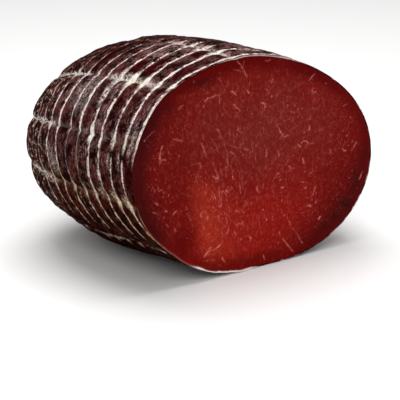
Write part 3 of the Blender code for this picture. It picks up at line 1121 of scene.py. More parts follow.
@dataclass
class LoafSkin:
    """The cured skin: the loaf's surface with grooves of the net, wrinkles and a torn rim.

    A swell's row holds its distance from the cut in millimetres, its angle in degrees, its reach
    along and round the loaf in the same units, and its height in millimetres.
    """

    form: LoafForm
    net: Net
    finish: CuredSkin = field(default_factory=CuredSkin)
    rings: int = 376
    columns: int = 240
    crowding: float = 0.55
    hoop_depth: float = 0.00045
    strand_depth: float = 0.0013
    pillow: float = 0.0007
    pad_height: float = 0.00025
    wrinkle: float = 0.0008
    hoop_sharpness: float = 3.0
    strand_sharpness: float = 5.0
    net_at_cut: float = 0.30
    swells: tuple[tuple[float, float, float, float, float], ...] = (
        (0.0, 60.0, 30.0, 23.0, 1.4),
        (0.0, 142.0, 6.0, 11.0, 2.3),
        (65.0, 126.0, 24.0, 22.0, 0.9),
    )
    net_full_from: float = 0.030
    end_fullness: float = 0.20
    gather_depth: float = 0.0025
    gather_radius: float = 0.014
    pleat_depth: float = 0.0009
    pleats: int = 24
    casing: float = 0.00045
    lip_length: float = 0.0012
    pocket: float = 0.0012
    rim_reach: float = 0.07
    seam_strand: float = 4.0
    soft_grain: Grain = Grain(0.012, 3, 2)
    wrinkle_grain: Grain = Grain(0.0035, 8, 3)
    lip_grain: Grain = Grain(0.0040, 31, 2)
    casing_grain: Grain = Grain(0.0040, 33, 2)
    bit_grain: Grain = Grain(0.0030, 35, 2)
    straw_grain: Grain = Grain(0.020, 71)

    def marks(self) -> NetMarks:
        """The marks that the net left."""
        return NetMarks(self.net)

    def strand_places(self) -> Array:
        """Columns counted in strands, crowded towards each strand by a sine."""
        even = np.linspace(0.0, self.net.strands, self.columns + 1)[:-1]
        return even - self.crowding * np.sin(2.0 * np.pi * even) / (2.0 * np.pi)

    def relief(self, along: Array, strand: Array, hoop: Array, point: Array) -> Array:
        """Height of the skin above the smooth loaf.

        Pillows of meat stand between narrow valleys along the hoops and strands, faded towards
        the cut and the tip. Noise makes them lumpy and wrinkled, low swells lift the rim, and
        pleats run in to the tip.

        Args:
            along: Distances along the skin.
            strand: Places counted in strands.
            hoop: Places counted in hoops.
            point: Points of the smooth loaf.

        Returns:
            Heights in metres.
        """
        strand = self.net.drifted(strand, along)
        groove = (1.0 - 2.0 * np.abs(hoop - np.round(hoop))) ** self.hoop_sharpness
        crease = (1.0 - 2.0 * np.abs(strand - np.round(strand))) ** self.strand_sharpness
        soft = self.soft_grain.at(point)
        wrinkled = self.wrinkle_grain.at(point)
        pillow = self.pillow * (0.45 + 1.1 * soft) * (1.0 - groove) * (1.0 - crease)
        valley = self.hoop_depth * groove + self.strand_depth * (0.7 + 0.6 * soft) * crease
        pad = self.pad_height * self.marks().pads(hoop, strand)
        angle = self.net.angle(strand)
        at_cut = self.net_at_cut * (0.15 + 0.85 * ease(np.cos(angle), 0.3, -0.3))
        near_cut = at_cut + (1.0 - at_cut) * ease(along, 0.0, self.net_full_from)
        near_tip = ease(self.form.fullness(along), self.end_fullness, 2.0 * self.end_fullness)
        lumps = self.wrinkle * (wrinkled - 0.5) * Depth.WRINKLED.over(along)
        lumps = lumps * (1.0 + 0.8 * Depth.LUMPY.over(along))
        from_tip = self.form.skin_length() - along
        wave = np.cos(2.0 * np.pi * self.pleats / self.net.strands * strand + 5.0 * (soft - 0.5))
        pleat = self.pleat_depth * wave * span(from_tip, 0.002, 0.009, 0.018, 0.045)
        place = along / MM, np.degrees(angle)
        swell = sum(height * bell(*place, oval) for *oval, height in self.swells)
        net = (pillow - valley + pad) * near_cut * near_tip
        return net + swell * MM + lumps + pleat * (0.4 + 1.2 * soft)

    def surface(self, along: Array, strand: Array) -> Array:
        """Points of the finished skin.

        The relief goes outwards along the smooth loaf's normal, fades where the skin is pressed
        on the floor, and the skin is gathered inwards round the tip.
        """
        angle = self.net.angle(strand)
        point = self.form.point(along, angle)
        hoop = self.net.hoop(along, strand)
        free = ease(point[..., 2], 0.0, self.form.pressed_blend)
        from_tip = self.form.skin_length() - along
        gather = self.gather_depth * ease(from_tip, self.gather_radius, 0.0)
        height = self.relief(along, strand, hoop, point) * free - gather
        point = point + self.form.normal(along, angle) * height[..., None]
        point[..., 2] = np.maximum(point[..., 2], 0.0)
        return point

    def rim(self) -> tuple[Array, Array]:
        """Angles and radii of the cased edge's inside, which the cut meat fills."""
        strand = self.strand_places()
        angle = self.net.angle(strand)
        edge = self.surface(np.zeros_like(strand), strand)
        centre = np.array([self.form.axis_x, self.form.cut_y, self.form.axis_height()])
        reach = np.hypot(edge[:, 0] - centre[0], edge[:, 2] - centre[2]) - self.thickness(angle)
        order = np.argsort(angle)
        return angle[order], reach[order]

    def ragged(self, angle: Array, grain: Grain) -> Array:
        """Uneven steps from 0 to 1 along the rim."""
        place = on_plane(np.cos(angle), np.sin(angle)) * self.rim_reach
        return ease(grain.at(place), 0.3, 0.7)

    def thickness(self, angle: Array) -> Array:
        """Thickness of the casing at the cut: thicker and uneven where it is torn underneath."""
        torn = Arc.TORN.over(np.degrees(angle))
        steps = self.ragged(angle, self.casing_grain)
        return self.casing * (0.8 + torn * (0.3 + 1.5 * steps))

    def lip(self, angle: Array) -> Array:
        """How far the casing stands in front of the cut: a ragged edge, longest underneath."""
        torn = Arc.TORN.over(np.degrees(angle))
        steps = self.ragged(angle, self.lip_grain)
        return self.lip_length * (0.12 + 0.50 * torn) * (0.2 + 1.3 * steps)

    def rim_rings(self, edge: Array, angle: Array) -> Array:
        """Three rings in front of the skin's first: pocket floor, inner edge and lip."""
        outward = np.stack((np.cos(angle), np.zeros_like(angle), np.sin(angle)), axis=-1)
        forward = np.array([0.0, -1.0, 0.0])
        thick, lip = self.thickness(angle)[:, None], self.lip(angle)[:, None]
        floor = edge - outward * thick - forward * self.pocket
        inner = edge - outward * thick + forward * lip
        front = edge - outward * 0.35 * thick + forward * (lip + 0.25 * thick)
        rings = np.stack((floor, inner, front))
        rings[..., 2] = np.maximum(rings[..., 2], 0.0)
        return rings

    def rim_numbers(self, along: Array, degrees: Array) -> dict[str, Array]:
        """Colour of the casing at the cut: pale where it is thick, orange where it is torn."""
        front = (along == 0.0).astype(float)
        torn, left = Arc.TORN.over(degrees), Arc.LEFT.over(degrees)
        bits = ease(self.ragged(np.radians(degrees), self.bit_grain), 0.80, 0.95)
        bits = bits * ease(degrees, 275.0, 285.0)
        above, beside = Arc.ABOVE.over(degrees), Arc.BESIDE.over(degrees)
        parts = (torn, 0.55 * left, 0.45 * above, 0.5 * beside, 0.5 * bits)
        return {"casing": front * np.max(parts, axis=0), "torn": left * (1.0 - torn)}

    def numbers(self, along: Array, strand: Array, point: Array) -> dict[str, Array]:
        """What the finish reads at each vertex: net marks, bloom, dust, coloured patches and
        painted shade.
        """
        hoop = self.net.hoop(along, strand)
        angle = np.degrees(self.net.angle(strand))
        strand = self.net.drifted(strand, along)
        marks = self.marks()
        full = self.form.fullness(along)
        rightward = np.cos(np.radians(angle))
        from_tip = self.form.skin_length() - along
        near_tip = ease(full, 0.25, 0.75)
        wide = ease(full, 0.3, 0.8)
        leftward = ease(rightward * full, 0.1, -0.4)
        # painted shade over the top far from the cut: the skin darkens, and dust, flakes and marks
        # dim there
        behind = Depth.SHADED_FAR_TOP.over(along) * Arc.SHADED_FAR_TOP.over(angle)
        # painted shade underneath, and over the far top
        low = np.maximum(Arc.SHADED_UNDERSIDE.over(angle) * wide, 0.65 * behind)
        ruddy = marks.ruddy(along, angle, point)

        dust = 0.25 + 0.75 * Lot.DUSTY.over(point)
        # less dust where painted shade falls over the far top and on the far left
        dust = dust * (1.0 - 0.6 * Depth.FAR_SHADED_DUST.over(along) * leftward) * (1.0 - 0.6 * behind)
        far = Depth.SPOTTED.over(along) * leftward * ease(full, 0.15, 0.5)
        spotted = np.maximum(far, 0.35 * Lot.SPOTTED.over(point))
        # painted shade on the lines underneath turns them a darker straw; elsewhere a straw tint by
        # lot and at the cut
        straw_and_shade = 0.7 * Arc.STRAW_IN_SHADE.over(angle) * wide * (1.0 - 0.6 * Depth.FAR_STRAW.over(along))
        straw_by_lot = 0.3 * ease(self.straw_grain.at(point), 0.6, 0.8)
        straw_at_cut = Depth.AT_CUT.over(along) * ease(angle, 150.0, 130.0) * 0.15
        unseen = ease(rightward, -0.1, 0.15)
        stain = np.maximum(marks.stains(hoop, strand), 0.32 * unseen * Lot.STAINED.over(point))
        rim_stain = 0.50 * Arc.BESIDE.over(angle) * Depth.AT_RIM.over(along)
        gathered = 0.6 * Lot.GATHERED.over(point) * span(from_tip, 0.002, 0.008, 0.020, 0.050)
        # the lines fade underneath, and dim in the painted shade over the far top
        faded = (1.0 - 0.85 * Arc.FADED.over(angle)) * (1.0 - 0.25 * behind)
        return {
            "mark": marks.lines(hoop, strand) * near_tip * faded,
            "crease_mark": np.maximum(marks.creases(along, strand, point) * near_tip, gathered),
            "pad": marks.pads(hoop, strand) * near_tip,
            "stain": np.maximum(stain * near_tip, rim_stain),
            "straw_and_shade": np.max((straw_and_shade, straw_by_lot, straw_at_cut), axis=0),
            # the dust dims under the painted shade underneath
            "dust": dust * (1.0 - ruddy) * (1.0 - 0.75 * low),
            "ruddy": ruddy,
            # fewer flakes in the painted shade over the far top
            "spotted": spotted * (1.0 - 0.8 * behind),
            # painted shade: underneath, over the far top, and on the left of the far end
            "low": np.maximum(low, 0.7 * Depth.FAR_SHADE.over(along) * leftward),
            **self.rim_numbers(along, angle),
        }

    def build(self) -> bpy.types.Object:
        """Make the closed skin: tip, rings, torn rim and the pocket behind the cut meat."""
        strand = self.strand_places()
        length = self.form.skin_length()
        along = np.linspace(0.0, length, self.rings + 1)[:-1]
        along_grid, strand_grid = np.meshgrid(along, strand, indexing="ij")
        skin = self.surface(along_grid, strand_grid)
        front = self.rim_rings(skin[0], self.net.angle(strand))
        grid = np.concatenate((front, skin))
        tip = self.surface(np.array([length]), np.array([0.0]))[0]
        floor = np.mean(front[0], axis=0)
        points = np.concatenate((grid.reshape(-1, 3), [tip, floor]))

        rows, columns = grid.shape[:2]
        index = np.arange(rows * columns).reshape(rows, columns)
        turned = np.roll(index, -1, axis=1)
        quads = np.stack((index[:-1], index[1:], turned[1:], turned[:-1]), axis=-1).reshape(-1, 4)
        last, centre = rows * columns, rows * columns + 1
        end = np.stack((index[-1], np.full(columns, last), turned[-1]), axis=-1)
        back = np.stack((np.full(columns, centre), index[0], turned[0]), axis=-1)

        along_all = np.concatenate((np.zeros((len(front), columns)), along_grid))
        strand_all = np.concatenate((strand_grid[: len(front)], strand_grid))
        along_flat = np.concatenate((along_all.ravel(), [length, 0.0]))
        strand_flat = np.concatenate((strand_all.ravel(), [0.0, 0.0]))
        hoop = self.net.hoop(along_flat, strand_flat)
        corners = np.concatenate((quads.ravel(), end.ravel(), back.ravel()))
        drift = self.net.drifted(strand_flat, along_flat) - strand_flat
        round_once = self._wrapped(strand_flat[corners], quads, end, back) + drift[corners]
        numbers = self.numbers(along_flat, strand_flat, points)
        maps = {"net": np.stack((round_once, hoop[corners]), axis=-1)}
        sheet = Sheet(points, [quads, end, back], numbers, maps)
        return sheet.build("cured_skin", self.finish.material())

    def _wrapped(self, strand: Array, *blocks: Array) -> Array:
        """Count strands up to the seam and down from it, with no face across the jump."""
        parts, start = [], 0
        for block in blocks:
            part = strand[start : start + block.size].reshape(block.shape)
            start += block.size
            last = part.max(axis=1, keepdims=True) > self.net.strands - 1.0
            part = np.where(last & (part < 1.0), part + self.net.strands, part)
            beyond = part.mean(axis=1, keepdims=True) > self.seam_strand
            parts.append(np.where(beyond, part - self.net.strands, part).ravel())
        return np.concatenate(parts)


class Inset(Stretch):
    """Stretches of the cut, counted in from its rim."""

    CASED = (0.0007, 0.0002)
    ROUNDED = (0.0009, 0.0)
    VEINED = (0.0004, 0.0015)
    MARBLED = (0.001, 0.012)
    BANDED = (0.0105, 0.003)


class Side(Stretch):
    """Stretches across the cut, counted to the right of the axis."""

    # LEFT and RIGHT: where the painted shade at the cut's sides starts and is full
    LEFT = (-0.030, -0.062)
    LEFT_SHADE = (-0.046, -0.066)
    CASED = (0.0, -0.004)
    MARBLED = (-0.050, 0.0)
    BRIGHT = (-0.050, 0.020)
    RIGHT = (0.040, 0.068)


class Slant(Stretch):
    """Stretches across the cut along a slanting line."""

    TOP_RIGHT = (-0.035, 0.020)
    SEAM = (-0.004, 0.006)
    CORNER = (0.040, 0.084)
    RIGHT_SHADE = (0.068, 0.091)


class Oval(Enum):
    """Soft ovals on the cut, from the axis in metres: middle across and up, then both radii."""

    BRIGHT = (-0.004, -0.034, 0.048, 0.020)
    DRY = (-0.047, -0.033, 0.008, 0.014)
    PAINTED_SHEEN = (0.008, 0.021, 0.060, 0.027)
    MIDDLE = (0.0, -0.036, 0.040, 0.018)
    STREAKED = (-0.016, -0.004, 0.024, 0.030)

    def over(self, across: Array, up: Array) -> Array:
        """1 in the middle, falling to 0 beside it."""
        return bell(across, up, self.value)


@dataclass
class CutFace:
    """The cut face: a nearly flat disc of meat that fills the rim, with its marbling.

    A vein's row holds its half width in hundredths of a millimetre, its strength in hundredths,
    and then the stops of its path right of the axis and above it, in tenths of a millimetre; one
    stop makes a spot. A shadow's row holds its middle and its two radii in millimetres, and its
    strength.
    """

    form: LoafForm
    skin: LoafSkin
    finish: CutMeat = field(default_factory=CutMeat)
    cells: int = 300
    depth: float = 0.0010
    overlap: float = 0.00006
    uneven: float = 0.00016
    rounding: float = 0.00035
    fibre_spread: float = 0.12
    vein_bend: float = 0.0010
    vein_width: float = 0.75
    vein_power: float = 1.3
    bend_grains: tuple[Grain, Grain] = (Grain(0.0024, 21, 2), Grain(0.0024, 22, 2))
    fat_grain: Grain = Grain(0.0020, 23)
    uneven_grains: tuple[Grain, Grain] = (Grain(0.020, 41, 2), Grain(0.0016, 42, 2))
    slow_grain: Grain = Grain(0.016, 5, 2)
    marbled_grain: Grain = Grain(0.012, 15, 2)
    fan_centre: tuple[float, float] = (0.006, -0.115)
    veins: tuple[tuple[int, ...], ...] = (
        (45, 60, -133, 567, -104, 542, -88, 521, -79, 500, -67, 479), (40, 45, -92, 533, -83, 562),
        (40, 35, -154, 529, -117, 517, -83, 508), (60, 50, -398, 500),
        (42, 40, -242, 500, -229, 475), (45, 60, -223, 463, -217, 454),
        (42, 40, -214, 445, -204, 425), (45, 80, -333, 392, -317, 400, -292, 407, -268, 412),
        (40, 35, -268, 412, -238, 412, -204, 422), (42, 50, -242, 412, -236, 395, -240, 362),
        (50, 70, -167, 420, -154, 415, -139, 401), (45, 55, -383, 388, -371, 373),
        (45, 50, -492, 373, -479, 388, -462, 393), (40, 35, -442, 371, -433, 350, -429, 329),
        (45, 50, -496, 300, -483, 312, -479, 325), (65, 65, -694, 248),
        (42, 35, -696, 246, -679, 262, -658, 279, -638, 285),
        (42, 55, -521, 227, -500, 218, -475, 210), (65, 75, -472, 211),
        (50, 75, -588, 204, -592, 192, -602, 173, -607, 150, -604, 121),
        (45, 60, -596, 133, -583, 133, -571, 129), (70, 70, -490, 136),
        (45, 60, -354, 179, -342, 154, -333, 133, -321, 108), (40, 35, -346, 225, -342, 200),
        (50, 50, -296, 150, -285, 142), (50, 90, -252, 235, -238, 208),
        (42, 60, -238, 208, -221, 179, -204, 150),
        (38, 28, -296, 200, -271, 167, -250, 133, -229, 92),
        (38, 25, -342, 300, -317, 267, -300, 233), (42, 60, -383, 79, -358, 77, -354, 50),
        (42, 40, -283, 71, -273, 50), (45, 60, -271, 46, -258, 17, -250, -4, -243, -27),
        (48, 80, -283, -6, -265, -15, -245, -28), (45, 60, -188, 96, -190, 67, -183, 33),
        (42, 45, -204, 25, -196, 0, -192, -25), (48, 65, -173, 102, -162, 96, -150, 90),
        (38, 40, -167, 138, -125, 117, -92, 108, -64, 100), (65, 75, -61, 94),
        (50, 65, -175, 204, -168, 192), (42, 45, -154, 192, -138, 171, -125, 183, -128, 194),
        (45, 55, -108, 133, -96, 125), (55, 50, -108, 92), (85, 80, -1, 107),
        (48, 80, -150, 346, -133, 329, -121, 321, -110, 310), (60, 50, -219, 306),
        (55, 80, -63, 409, -54, 392), (42, 45, -50, 454, -52, 433), (42, 45, -123, 292, -112, 276),
        (60, 60, -30, 280), (42, 50, -8, 67, -4, 25), (45, 50, -138, 42, -133, 29),
        (42, 40, -167, 25, -154, -8), (42, 45, -650, 4, -638, -21),
        (45, 50, -617, -4, -612, -25, -596, -16), (48, 70, -640, -80, -621, -92),
        (45, 65, -650, -130, -638, -134, -617, -147), (50, 75, -579, -134, -567, -142),
        (48, 70, -529, -168, -521, -157, -504, -151), (42, 45, -567, -209, -558, -226),
        (42, 50, -517, -242, -512, -259), (60, 60, -471, -63), (45, 50, -450, -138, -443, -155),
        (40, 38, -442, -172, -421, -218), (50, 80, -342, -180, -356, -198, -348, -216),
        (65, 85, -309, -218, -316, -233), (45, 50, -354, -313, -333, -305),
        (42, 45, -317, -318, -292, -309), (42, 50, -242, -72, -238, -113, -226, -142, -229, -168),
        (52, 90, -245, -172, -235, -184, -227, -168), (40, 40, -196, -113, -188, -155),
        (40, 42, -125, -155, -123, -188), (48, 70, -108, -88, -104, -110, -100, -130),
        (42, 45, -92, -42, -90, -80), (42, 50, -71, -176, -72, -210, -78, -240),
        (90, 80, -26, -198), (60, 55, -29, -62), (52, 80, 4, -113, 8, -130, 21, -151),
        (45, 60, -138, -222, -112, -230), (50, 65, -171, -242, -167, -259),
        (48, 70, -171, -292, -179, -318, -188, -334),
        (48, 75, -133, -301, -108, -297, -85, -301, -84, -288), (60, 50, -62, -318),
        (75, 75, -97, -387), (52, 85, -38, -388, -29, -397, -35, -409),
        (60, 95, -333, -434, -317, -413, -300, -407, -275, -405, -250, -397, -234, -389),
        (50, 80, -315, -411, -298, -394, -290, -387), (40, 45, -233, -385, -215, -375),
        (40, 45, -317, -430, -292, -426, -267, -434), (40, 42, -325, -455, -300, -455, -267, -463),
        (55, 75, -221, -463, -208, -480, -200, -488), (55, 50, -228, -503),
        (50, 75, 21, 334, 50, 324, 53, 302), (45, 70, 58, 404, 68, 392, 79, 371),
        (52, 65, 104, 446, 96, 425), (75, 70, 93, 351), (42, 45, 50, 550, 67, 542, 83, 548),
        (90, 95, 133, 195), (48, 80, 133, 192, 146, 171, 158, 150, 175, 138, 179, 129),
        (52, 75, 158, 117, 167, 133), (45, 65, 179, 125, 200, 127, 208, 132, 215, 123),
        (70, 55, 66, 162), (40, 40, 25, 158, 29, 125), (50, 75, 65, 64, 66, 34),
        (38, 35, 65, 80, 66, 34, 62, -33), (52, 65, 146, 54, 150, 29),
        (50, 75, 336, 402, 348, 404, 362, 421, 383, 433),
        (45, 65, 367, 350, 371, 338, 383, 329, 396, 335), (60, 55, 213, 335), (55, 50, 462, 369),
        (55, 50, 370, 248), (45, 55, 358, 212, 357, 192), (52, 80, 354, 156, 354, 138, 342, 133),
        (45, 60, 317, 121, 329, 127), (45, 78, 300, 67, 312, 75, 329, 75, 343, 67, 346, 57),
        (48, 78, 275, 67, 288, 58, 298, 50), (65, 70, 258, 51), (65, 75, 334, 49),
        (42, 60, 362, 54, 379, 56, 388, 52), (42, 42, 417, 117, 438, 125), (95, 95, 503, 80),
        (42, 60, 588, 225, 600, 233, 621, 238), (50, 40, 658, 136),
        (52, 70, 688, 8, 671, -12, 658, -29), (60, 80, 602, -21, 616, -25),
        (50, 60, 504, 0, 509, -21), (50, 50, 562, 0), (58, 80, 312, -15, 321, -42),
        (45, 60, 212, -8, 200, -32), (50, 80, 221, -42, 233, -55, 246, -62), (55, 50, 419, -29),
        (85, 85, 148, -70), (70, 75, 163, -109), (58, 90, 171, -151, 183, -155),
        (75, 80, 173, -222), (50, 78, 308, -142, 321, -149), (80, 90, 336, -183),
        (50, 75, 362, -109, 379, -103, 385, -88, 383, -82),
        (50, 72, 412, -188, 400, -192, 398, -209, 388, -226, 383, -238), (75, 85, 410, -279),
        (55, 90, 354, -292, 367, -288, 375, -297), (42, 50, 379, -255, 383, -268),
        (70, 95, 435, -382, 446, -369), (55, 50, 459, -392),
        (60, 70, 724, -202, 733, -180, 745, -166), (65, 60, 700, -253),
        (40, 60, 217, -330, 229, -359, 242, -384, 267, -418, 283, -434, 300, -463, 323, -495),
        (48, 75, 179, -438, 200, -459, 221, -480, 238, -509, 262, -526),
        (50, 65, 162, -397, 171, -418), (65, 65, 156, -461), (80, 80, 192, -310),
        (50, 70, 112, -301, 117, -322), (60, 50, 121, -405), (55, 75, 46, -248, 54, -256),
        (52, 75, 58, -292, 67, -305, 76, -315), (65, 70, 22, -234), (65, 60, 115, -159),
        (50, 75, 54, -505, 62, -530), (38, 35, 220, -200, 214, -230, 219, -255),
    )
    shadows: tuple[tuple[float, float, float, float, float], ...] = (
        (-56.0, 39.5, 4.5, 5.0, 0.60), (-35.0, 48.5, 9.0, 3.6, 0.45), (-62.5, 33.0, 4.0, 8.0, 0.40),
        (-67.0, 21.0, 4.0, 7.0, 0.35), (-60.0, -24.0, 6.0, 8.0, 0.60), (24.0, 41.0, 3.5, 3.5, 0.18),
        (5.0, -51.0, 16.0, 3.0, 0.25), (62.5, -33.5, 8.0, 6.5, 0.85), (70.0, -22.0, 4.5, 8.5, 0.85),
        (74.0, -9.0, 3.0, 8.0, 0.70), (56.0, -38.5, 7.5, 5.0, 0.80), (49.0, -43.0, 8.0, 4.0, 0.75),
        (40.0, -47.0, 7.0, 3.5, 0.45),
    )

    def disc(self) -> tuple[Array, Array]:
        """A square grid bent into a unit disc: each square ring becomes a circle.

        Returns:
            Radius from 0 to 1 and angle, on the grid.
        """
        side = np.linspace(-1.0, 1.0, self.cells + 1)
        across, up = np.meshgrid(side, side, indexing="ij")
        radius = np.maximum(np.abs(across), np.abs(up))
        safe = np.where(radius == 0.0, 1.0, radius)
        sideways = np.abs(across) >= np.abs(up)
        share = np.where(sideways, up, across) / safe
        quarter = 0.25 * np.pi * share
        turned = np.where(across >= 0.0, quarter, np.pi - quarter)
        upright = np.where(up >= 0.0, 0.5 * np.pi - quarter, 1.5 * np.pi + quarter)
        return radius, np.mod(np.where(sideways, turned, upright), 2.0 * np.pi)

    def marbling(self, across: Array, up: Array, inside: Array) -> Array:
        """The longer veins of fat: a bell curve of the distance to the nearest segment.

        Args:
            across: Points' distance right of the axis, in metres.
            up: Their distance above it.
            inside: Their distance in from the rim.

        Returns:
            Fat from 0 to 1.
        """
        place = on_plane(across, up)
        bends = [grain.at(place) - 0.5 for grain in self.bend_grains]
        bent = place[:, :2] + self.vein_bend * np.stack(bends, axis=-1)
        fat = np.zeros(len(place))
        for width, strength, *path in self.veins:
            stops = np.array(path).reshape(-1, 2) / 10.0 * MM
            reach = self.vein_width * (width / 100.0) * MM
            for first, second in zip(stops, stops[1:] if len(stops) > 1 else stops):
                self._draw(fat, bent, first, second, reach, strength / 100.0)
        fat = fat * (0.50 + 0.65 * ease(self.fat_grain.at(place), 0.2, 0.6))
        return (fat * Inset.VEINED.over(inside)) ** self.vein_power

    def _draw(
        self, fat: Array, place: Array, first: Array, second: Array, width: float, strength: float
    ) -> None:
        """Add one segment's bell curve where it is stronger than what is there."""
        reach = 3.0 * width
        low, high = np.minimum(first, second) - reach, np.maximum(first, second) + reach
        near = np.flatnonzero(np.all((place > low) & (place < high), axis=-1))
        step = second - first
        offset = place[near] - first
        share = np.clip(offset @ step / max(step @ step, SMALL_SQUARE), 0.0, 1.0)
        away = np.linalg.norm(offset - share[:, None] * step, axis=-1)
        fat[near] = np.maximum(fat[near], strength * fall(away, width))

    def purple(self, across: Array, up: Array, inside: Array, slow: Array) -> Array:
        """Purple shadows inside the rim: along the left, low on the right, and single ovals."""
        right = Slant.RIGHT_SHADE.over(across - 0.9 * up) * fall(inside - 0.0065, 0.0058)
        left = Side.LEFT_SHADE.over(across) * fall(np.maximum(inside - 0.003, 0.0), 0.0075)
        purple = np.maximum(0.55 * right, 0.80 * left)
        for *oval, strength in self.shadows:
            spot = strength * bell(across / MM, up / MM, oval)
            purple = np.maximum(purple, spot * (0.6 + 0.8 * slow))
        return purple

    def rim_band_and_shade(self, across: Array, up: Array, inside: Array, slow: Array) -> Array:
        """The deeper band: drier along the rim, painted shade at both sides, darker in the lower
        right corner.
        """
        top_right = Slant.TOP_RIGHT.over(up * 0.8 + across * 0.35)
        band = Inset.BANDED.over(inside) * (0.45 + 0.55 * top_right) * (0.7 + 0.6 * slow)
        # painted shade: the red darkens towards the cut's left and right sides
        sides = np.maximum(Side.LEFT.over(across), Side.RIGHT.over(across))
        corner = Slant.CORNER.over(across - 0.8 * up)
        parts = (band, 0.46 * sides, 0.95 * Oval.DRY.over(across, up), 0.85 * corner)
        return np.max(parts, axis=0)

    def warm(self, across: Array, up: Array, slow: Array) -> Array:
        """The warm glow: it starts sharply at a slanting seam and fades to the right of it."""
        beyond = across + 0.043 + 0.23 * (up + 0.008)
        glow = Slant.SEAM.over(beyond) * fall(np.maximum(beyond - 0.005, 0.0), 0.015)
        return glow * span(up, -0.054, -0.040, -0.014, 0.004) * (0.6 + 0.7 * slow)

    def numbers(self, across: Array, up: Array, inside: Array) -> dict[str, Array]:
        """What the finish reads: fat, painted sheen, a warm seam, the deep rim band, painted shade
        and purple shadows.
        """
        place = on_plane(across, up)
        slow = self.slow_grain.at(place)
        purple = self.purple(across, up, inside, slow)
        warm = 0.80 * self.warm(across, up, slow) + 0.10 * Oval.MIDDLE.over(across, up)
        # painted sheen over the upper part of the cut
        painted_sheen = Oval.PAINTED_SHEEN.over(across, up) * (0.5 + 0.9 * slow)
        casing = Inset.CASED.over(inside) * Side.CASED.over(across) * ease(up, -0.020, -0.045)
        marbled = (0.35 + 0.9 * self.marbled_grain.at(place)) * Inset.MARBLED.over(inside)
        marbled = marbled * (1.0 - 0.5 * purple) * (0.75 + 0.25 * Side.MARBLED.over(across))
        return {
            "fat": self.marbling(across, up, inside),
            "rim_band_and_shade": np.clip(self.rim_band_and_shade(across, up, inside, slow), 0.0, 1.0),
            "painted_sheen": np.clip(painted_sheen, 0.0, 1.0),
            "warm": np.clip(warm, 0.0, 1.0),
            "purple": purple,
            "bright": Oval.BRIGHT.over(across, up) + 0.2 * Side.BRIGHT.over(across),
            "casing": 0.25 * casing,
            "marbled": np.clip(marbled, 0.0, 1.2),
            "streaked": 0.15 + 0.85 * Oval.STREAKED.over(across, up),
        }

    def build(self) -> bpy.types.Object:
        """Make the closed disc: front, side wall and back."""
        radius, angle = self.disc()
        rim_angle, rim_reach = self.skin.rim()
        reach = np.interp(angle, rim_angle, rim_reach, period=2.0 * np.pi) + self.overlap
        across, up = radius * reach * np.cos(angle), radius * reach * np.sin(angle)
        inside = (1.0 - radius) * reach
        centre_x, centre_z = self.form.axis_x, self.form.axis_height()
        flat = on_plane(across, up)
        coarse, fine = (grain.at(flat) - 0.5 for grain in self.uneven_grains)
        swell = self.uneven * (coarse + 0.35 * fine)
        depth = self.form.cut_y + swell + self.rounding * Inset.ROUNDED.over(inside)
        front = np.stack((across + centre_x, depth, up + centre_z), axis=-1)
        front[..., 2] = np.maximum(front[..., 2], 0.0)

        count = self.cells + 1
        index = np.arange(count * count).reshape(count, count)
        cells = (index[:-1, :-1], index[1:, :-1], index[1:, 1:], index[:-1, 1:])
        quads = np.stack(cells, axis=-1).reshape(-1, 4)
        edge = np.concatenate((index[-1, :-1], index[:0:-1, -1], index[0, :0:-1], index[:-1, 0]))
        back = front.reshape(-1, 3)[edge] * np.array([1.0, 0.0, 1.0])
        back[:, 1] = self.form.cut_y + self.depth
        points = np.concatenate((front.reshape(-1, 3), back, [np.mean(back, axis=0)]))
        behind = count * count + np.arange(len(edge))
        wall = np.stack((edge, behind, np.roll(behind, -1), np.roll(edge, -1)), -1)
        middle = np.full(len(edge), len(points) - 1)
        cap = np.stack((behind, middle, np.roll(behind, -1)), -1)

        flat_across, flat_up = points[:, 0] - centre_x, points[:, 2] - centre_z
        inside_all = np.concatenate((inside.ravel(), np.zeros(len(edge) + 1)))
        away = np.stack((flat_across, flat_up), -1) - np.array(self.fan_centre)
        turn = np.arctan2(away[:, 0], away[:, 1]) * self.fibre_spread
        fibre = np.stack((turn, np.hypot(away[:, 0], away[:, 1])), axis=-1)
        corners = np.concatenate((quads.ravel(), wall.ravel(), cap.ravel()))
        numbers = self.numbers(flat_across, flat_up, inside_all)
        sheet = Sheet(points, [quads, wall, cap], numbers, {"fibre": fibre[corners]})
        return sheet.build("cut_face", self.finish.material())


@dataclass(frozen=True)
class Lamp:
    """One square soft light."""

    name: str
    place: Triple
    size: float
    power: float
    colour: Colour


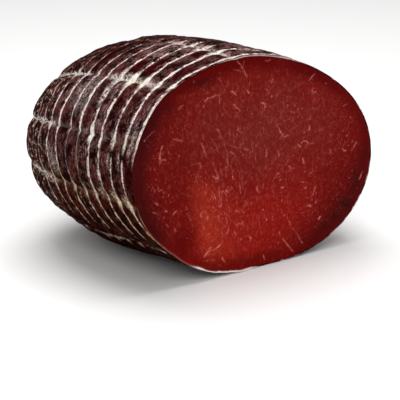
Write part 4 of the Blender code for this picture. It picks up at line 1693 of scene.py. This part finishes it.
@dataclass
class Studio:
    """Pale floor, soft lights and the camera at the photograph's angle."""

    target: Vector
    azimuth: float = float(np.radians(-36.0))
    elevation: float = float(np.radians(18.0))
    distance: float = 0.8
    focal_pixels: float = 1544.0
    frame_pixels: float = 400.0
    seen_at: tuple[float, float] = (256.3, 164.2)
    sensor: float = 36.0
    floor_drop: float = 0.0002
    floor_size: float = 3.0
    sky: Colour = (0.93, 0.935, 0.94)
    sky_strength: float = 0.45
    clip: tuple[float, float] = (0.01, 50.0)
    lamps: tuple[Lamp, ...] = (
        Lamp("key", (-0.75, -0.85, 0.95), 0.7, 5.2, (1.0, 0.985, 0.97)),
        Lamp("overhead", (0.05, 0.15, 1.2), 0.9, 12.5, (1.0, 1.0, 1.0)),
        Lamp("fill", (0.9, -0.9, 0.45), 0.8, 1.4, (0.98, 0.99, 1.0)),
    )

    def directions(self) -> tuple[Vector, Vector, Vector]:
        """Camera axes: right, up, and back towards the viewer."""
        flat = np.cos(self.elevation)
        across, away = np.sin(self.azimuth) * flat, -np.cos(self.azimuth) * flat
        back = Vector((across, away, np.sin(self.elevation)))
        right = Vector((np.cos(self.azimuth), np.sin(self.azimuth), 0.0))
        return right, back.cross(right), back

    def camera(self) -> None:
        """Place the camera so that the target falls on its place in the photograph."""
        right, up, back = self.directions()
        half = 0.5 * self.frame_pixels
        aside = (self.seen_at[0] - half) / self.focal_pixels
        above = (half - self.seen_at[1]) / self.focal_pixels
        sight = -back + right * aside + up * above
        data = bpy.data.cameras.new("camera")
        data.sensor_width = self.sensor
        data.lens = self.sensor * self.focal_pixels / self.frame_pixels
        data.clip_start, data.clip_end = self.clip
        camera = put("camera", data)
        turn = Matrix((right, up, back)).transposed().to_4x4()
        camera.matrix_world = Matrix.Translation(self.target - sight * self.distance) @ turn
        bpy.context.scene.camera = camera

    def light(self, lamp: Lamp) -> None:
        """Add a light that faces the loaf."""
        data = bpy.data.lights.new(lamp.name, "AREA")
        data.size, data.energy, data.color = lamp.size, lamp.power, lamp.colour
        made = put(lamp.name, data)
        made.location = Vector(lamp.place)
        aim = self.target - made.location
        made.rotation_euler = aim.to_track_quat("-Z", "Y").to_euler()

    def floor(self) -> None:
        """Lay the pale floor just under the loaf."""
        half = 0.5 * self.floor_size
        corners = np.array([[-half, -half], [half, -half], [half, half], [-half, half]])
        points = np.column_stack((corners, np.full(4, -self.floor_drop)))
        sheet = Sheet(points, [np.array([[0, 1, 2, 3]])])
        sheet.build("floor", PaleFloor().material())

    def build(self) -> None:
        """Make the camera, the world, the lights and the floor."""
        self.camera()
        world = bpy.data.worlds.new("studio")
        world.use_nodes = True
        sky = world.node_tree.nodes["Background"]
        sky.inputs["Color"].default_value = (*self.sky, 1.0)
        sky.inputs["Strength"].default_value = self.sky_strength
        scene = bpy.context.scene
        scene.world = world
        scene.view_settings.view_transform = "Standard"
        for lamp in self.lamps:
            self.light(lamp)
        self.floor()


def main() -> None:
    """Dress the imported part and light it."""
    logging.basicConfig(level=logging.INFO, format="%(name)s: %(message)s")
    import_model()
    low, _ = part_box(NODE)
    form = LoafForm(axis_x=low[0] + AXIS_FROM_LEFT, cut_y=low[1])
    Studio(Vector((form.axis_x, form.cut_y, form.axis_height() + form.pressed_depth))).build()
    skin = LoafSkin(form, Net(form))
    for piece in (skin.build(), CutFace(form, skin).build()):
        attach(piece, BODY)
        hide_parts(NODE)
        LOG.info("%s: %d faces", piece.name, len(piece.data.polygons))
    LOG.info("boxes written")


if __name__ == "__main__":
    main()
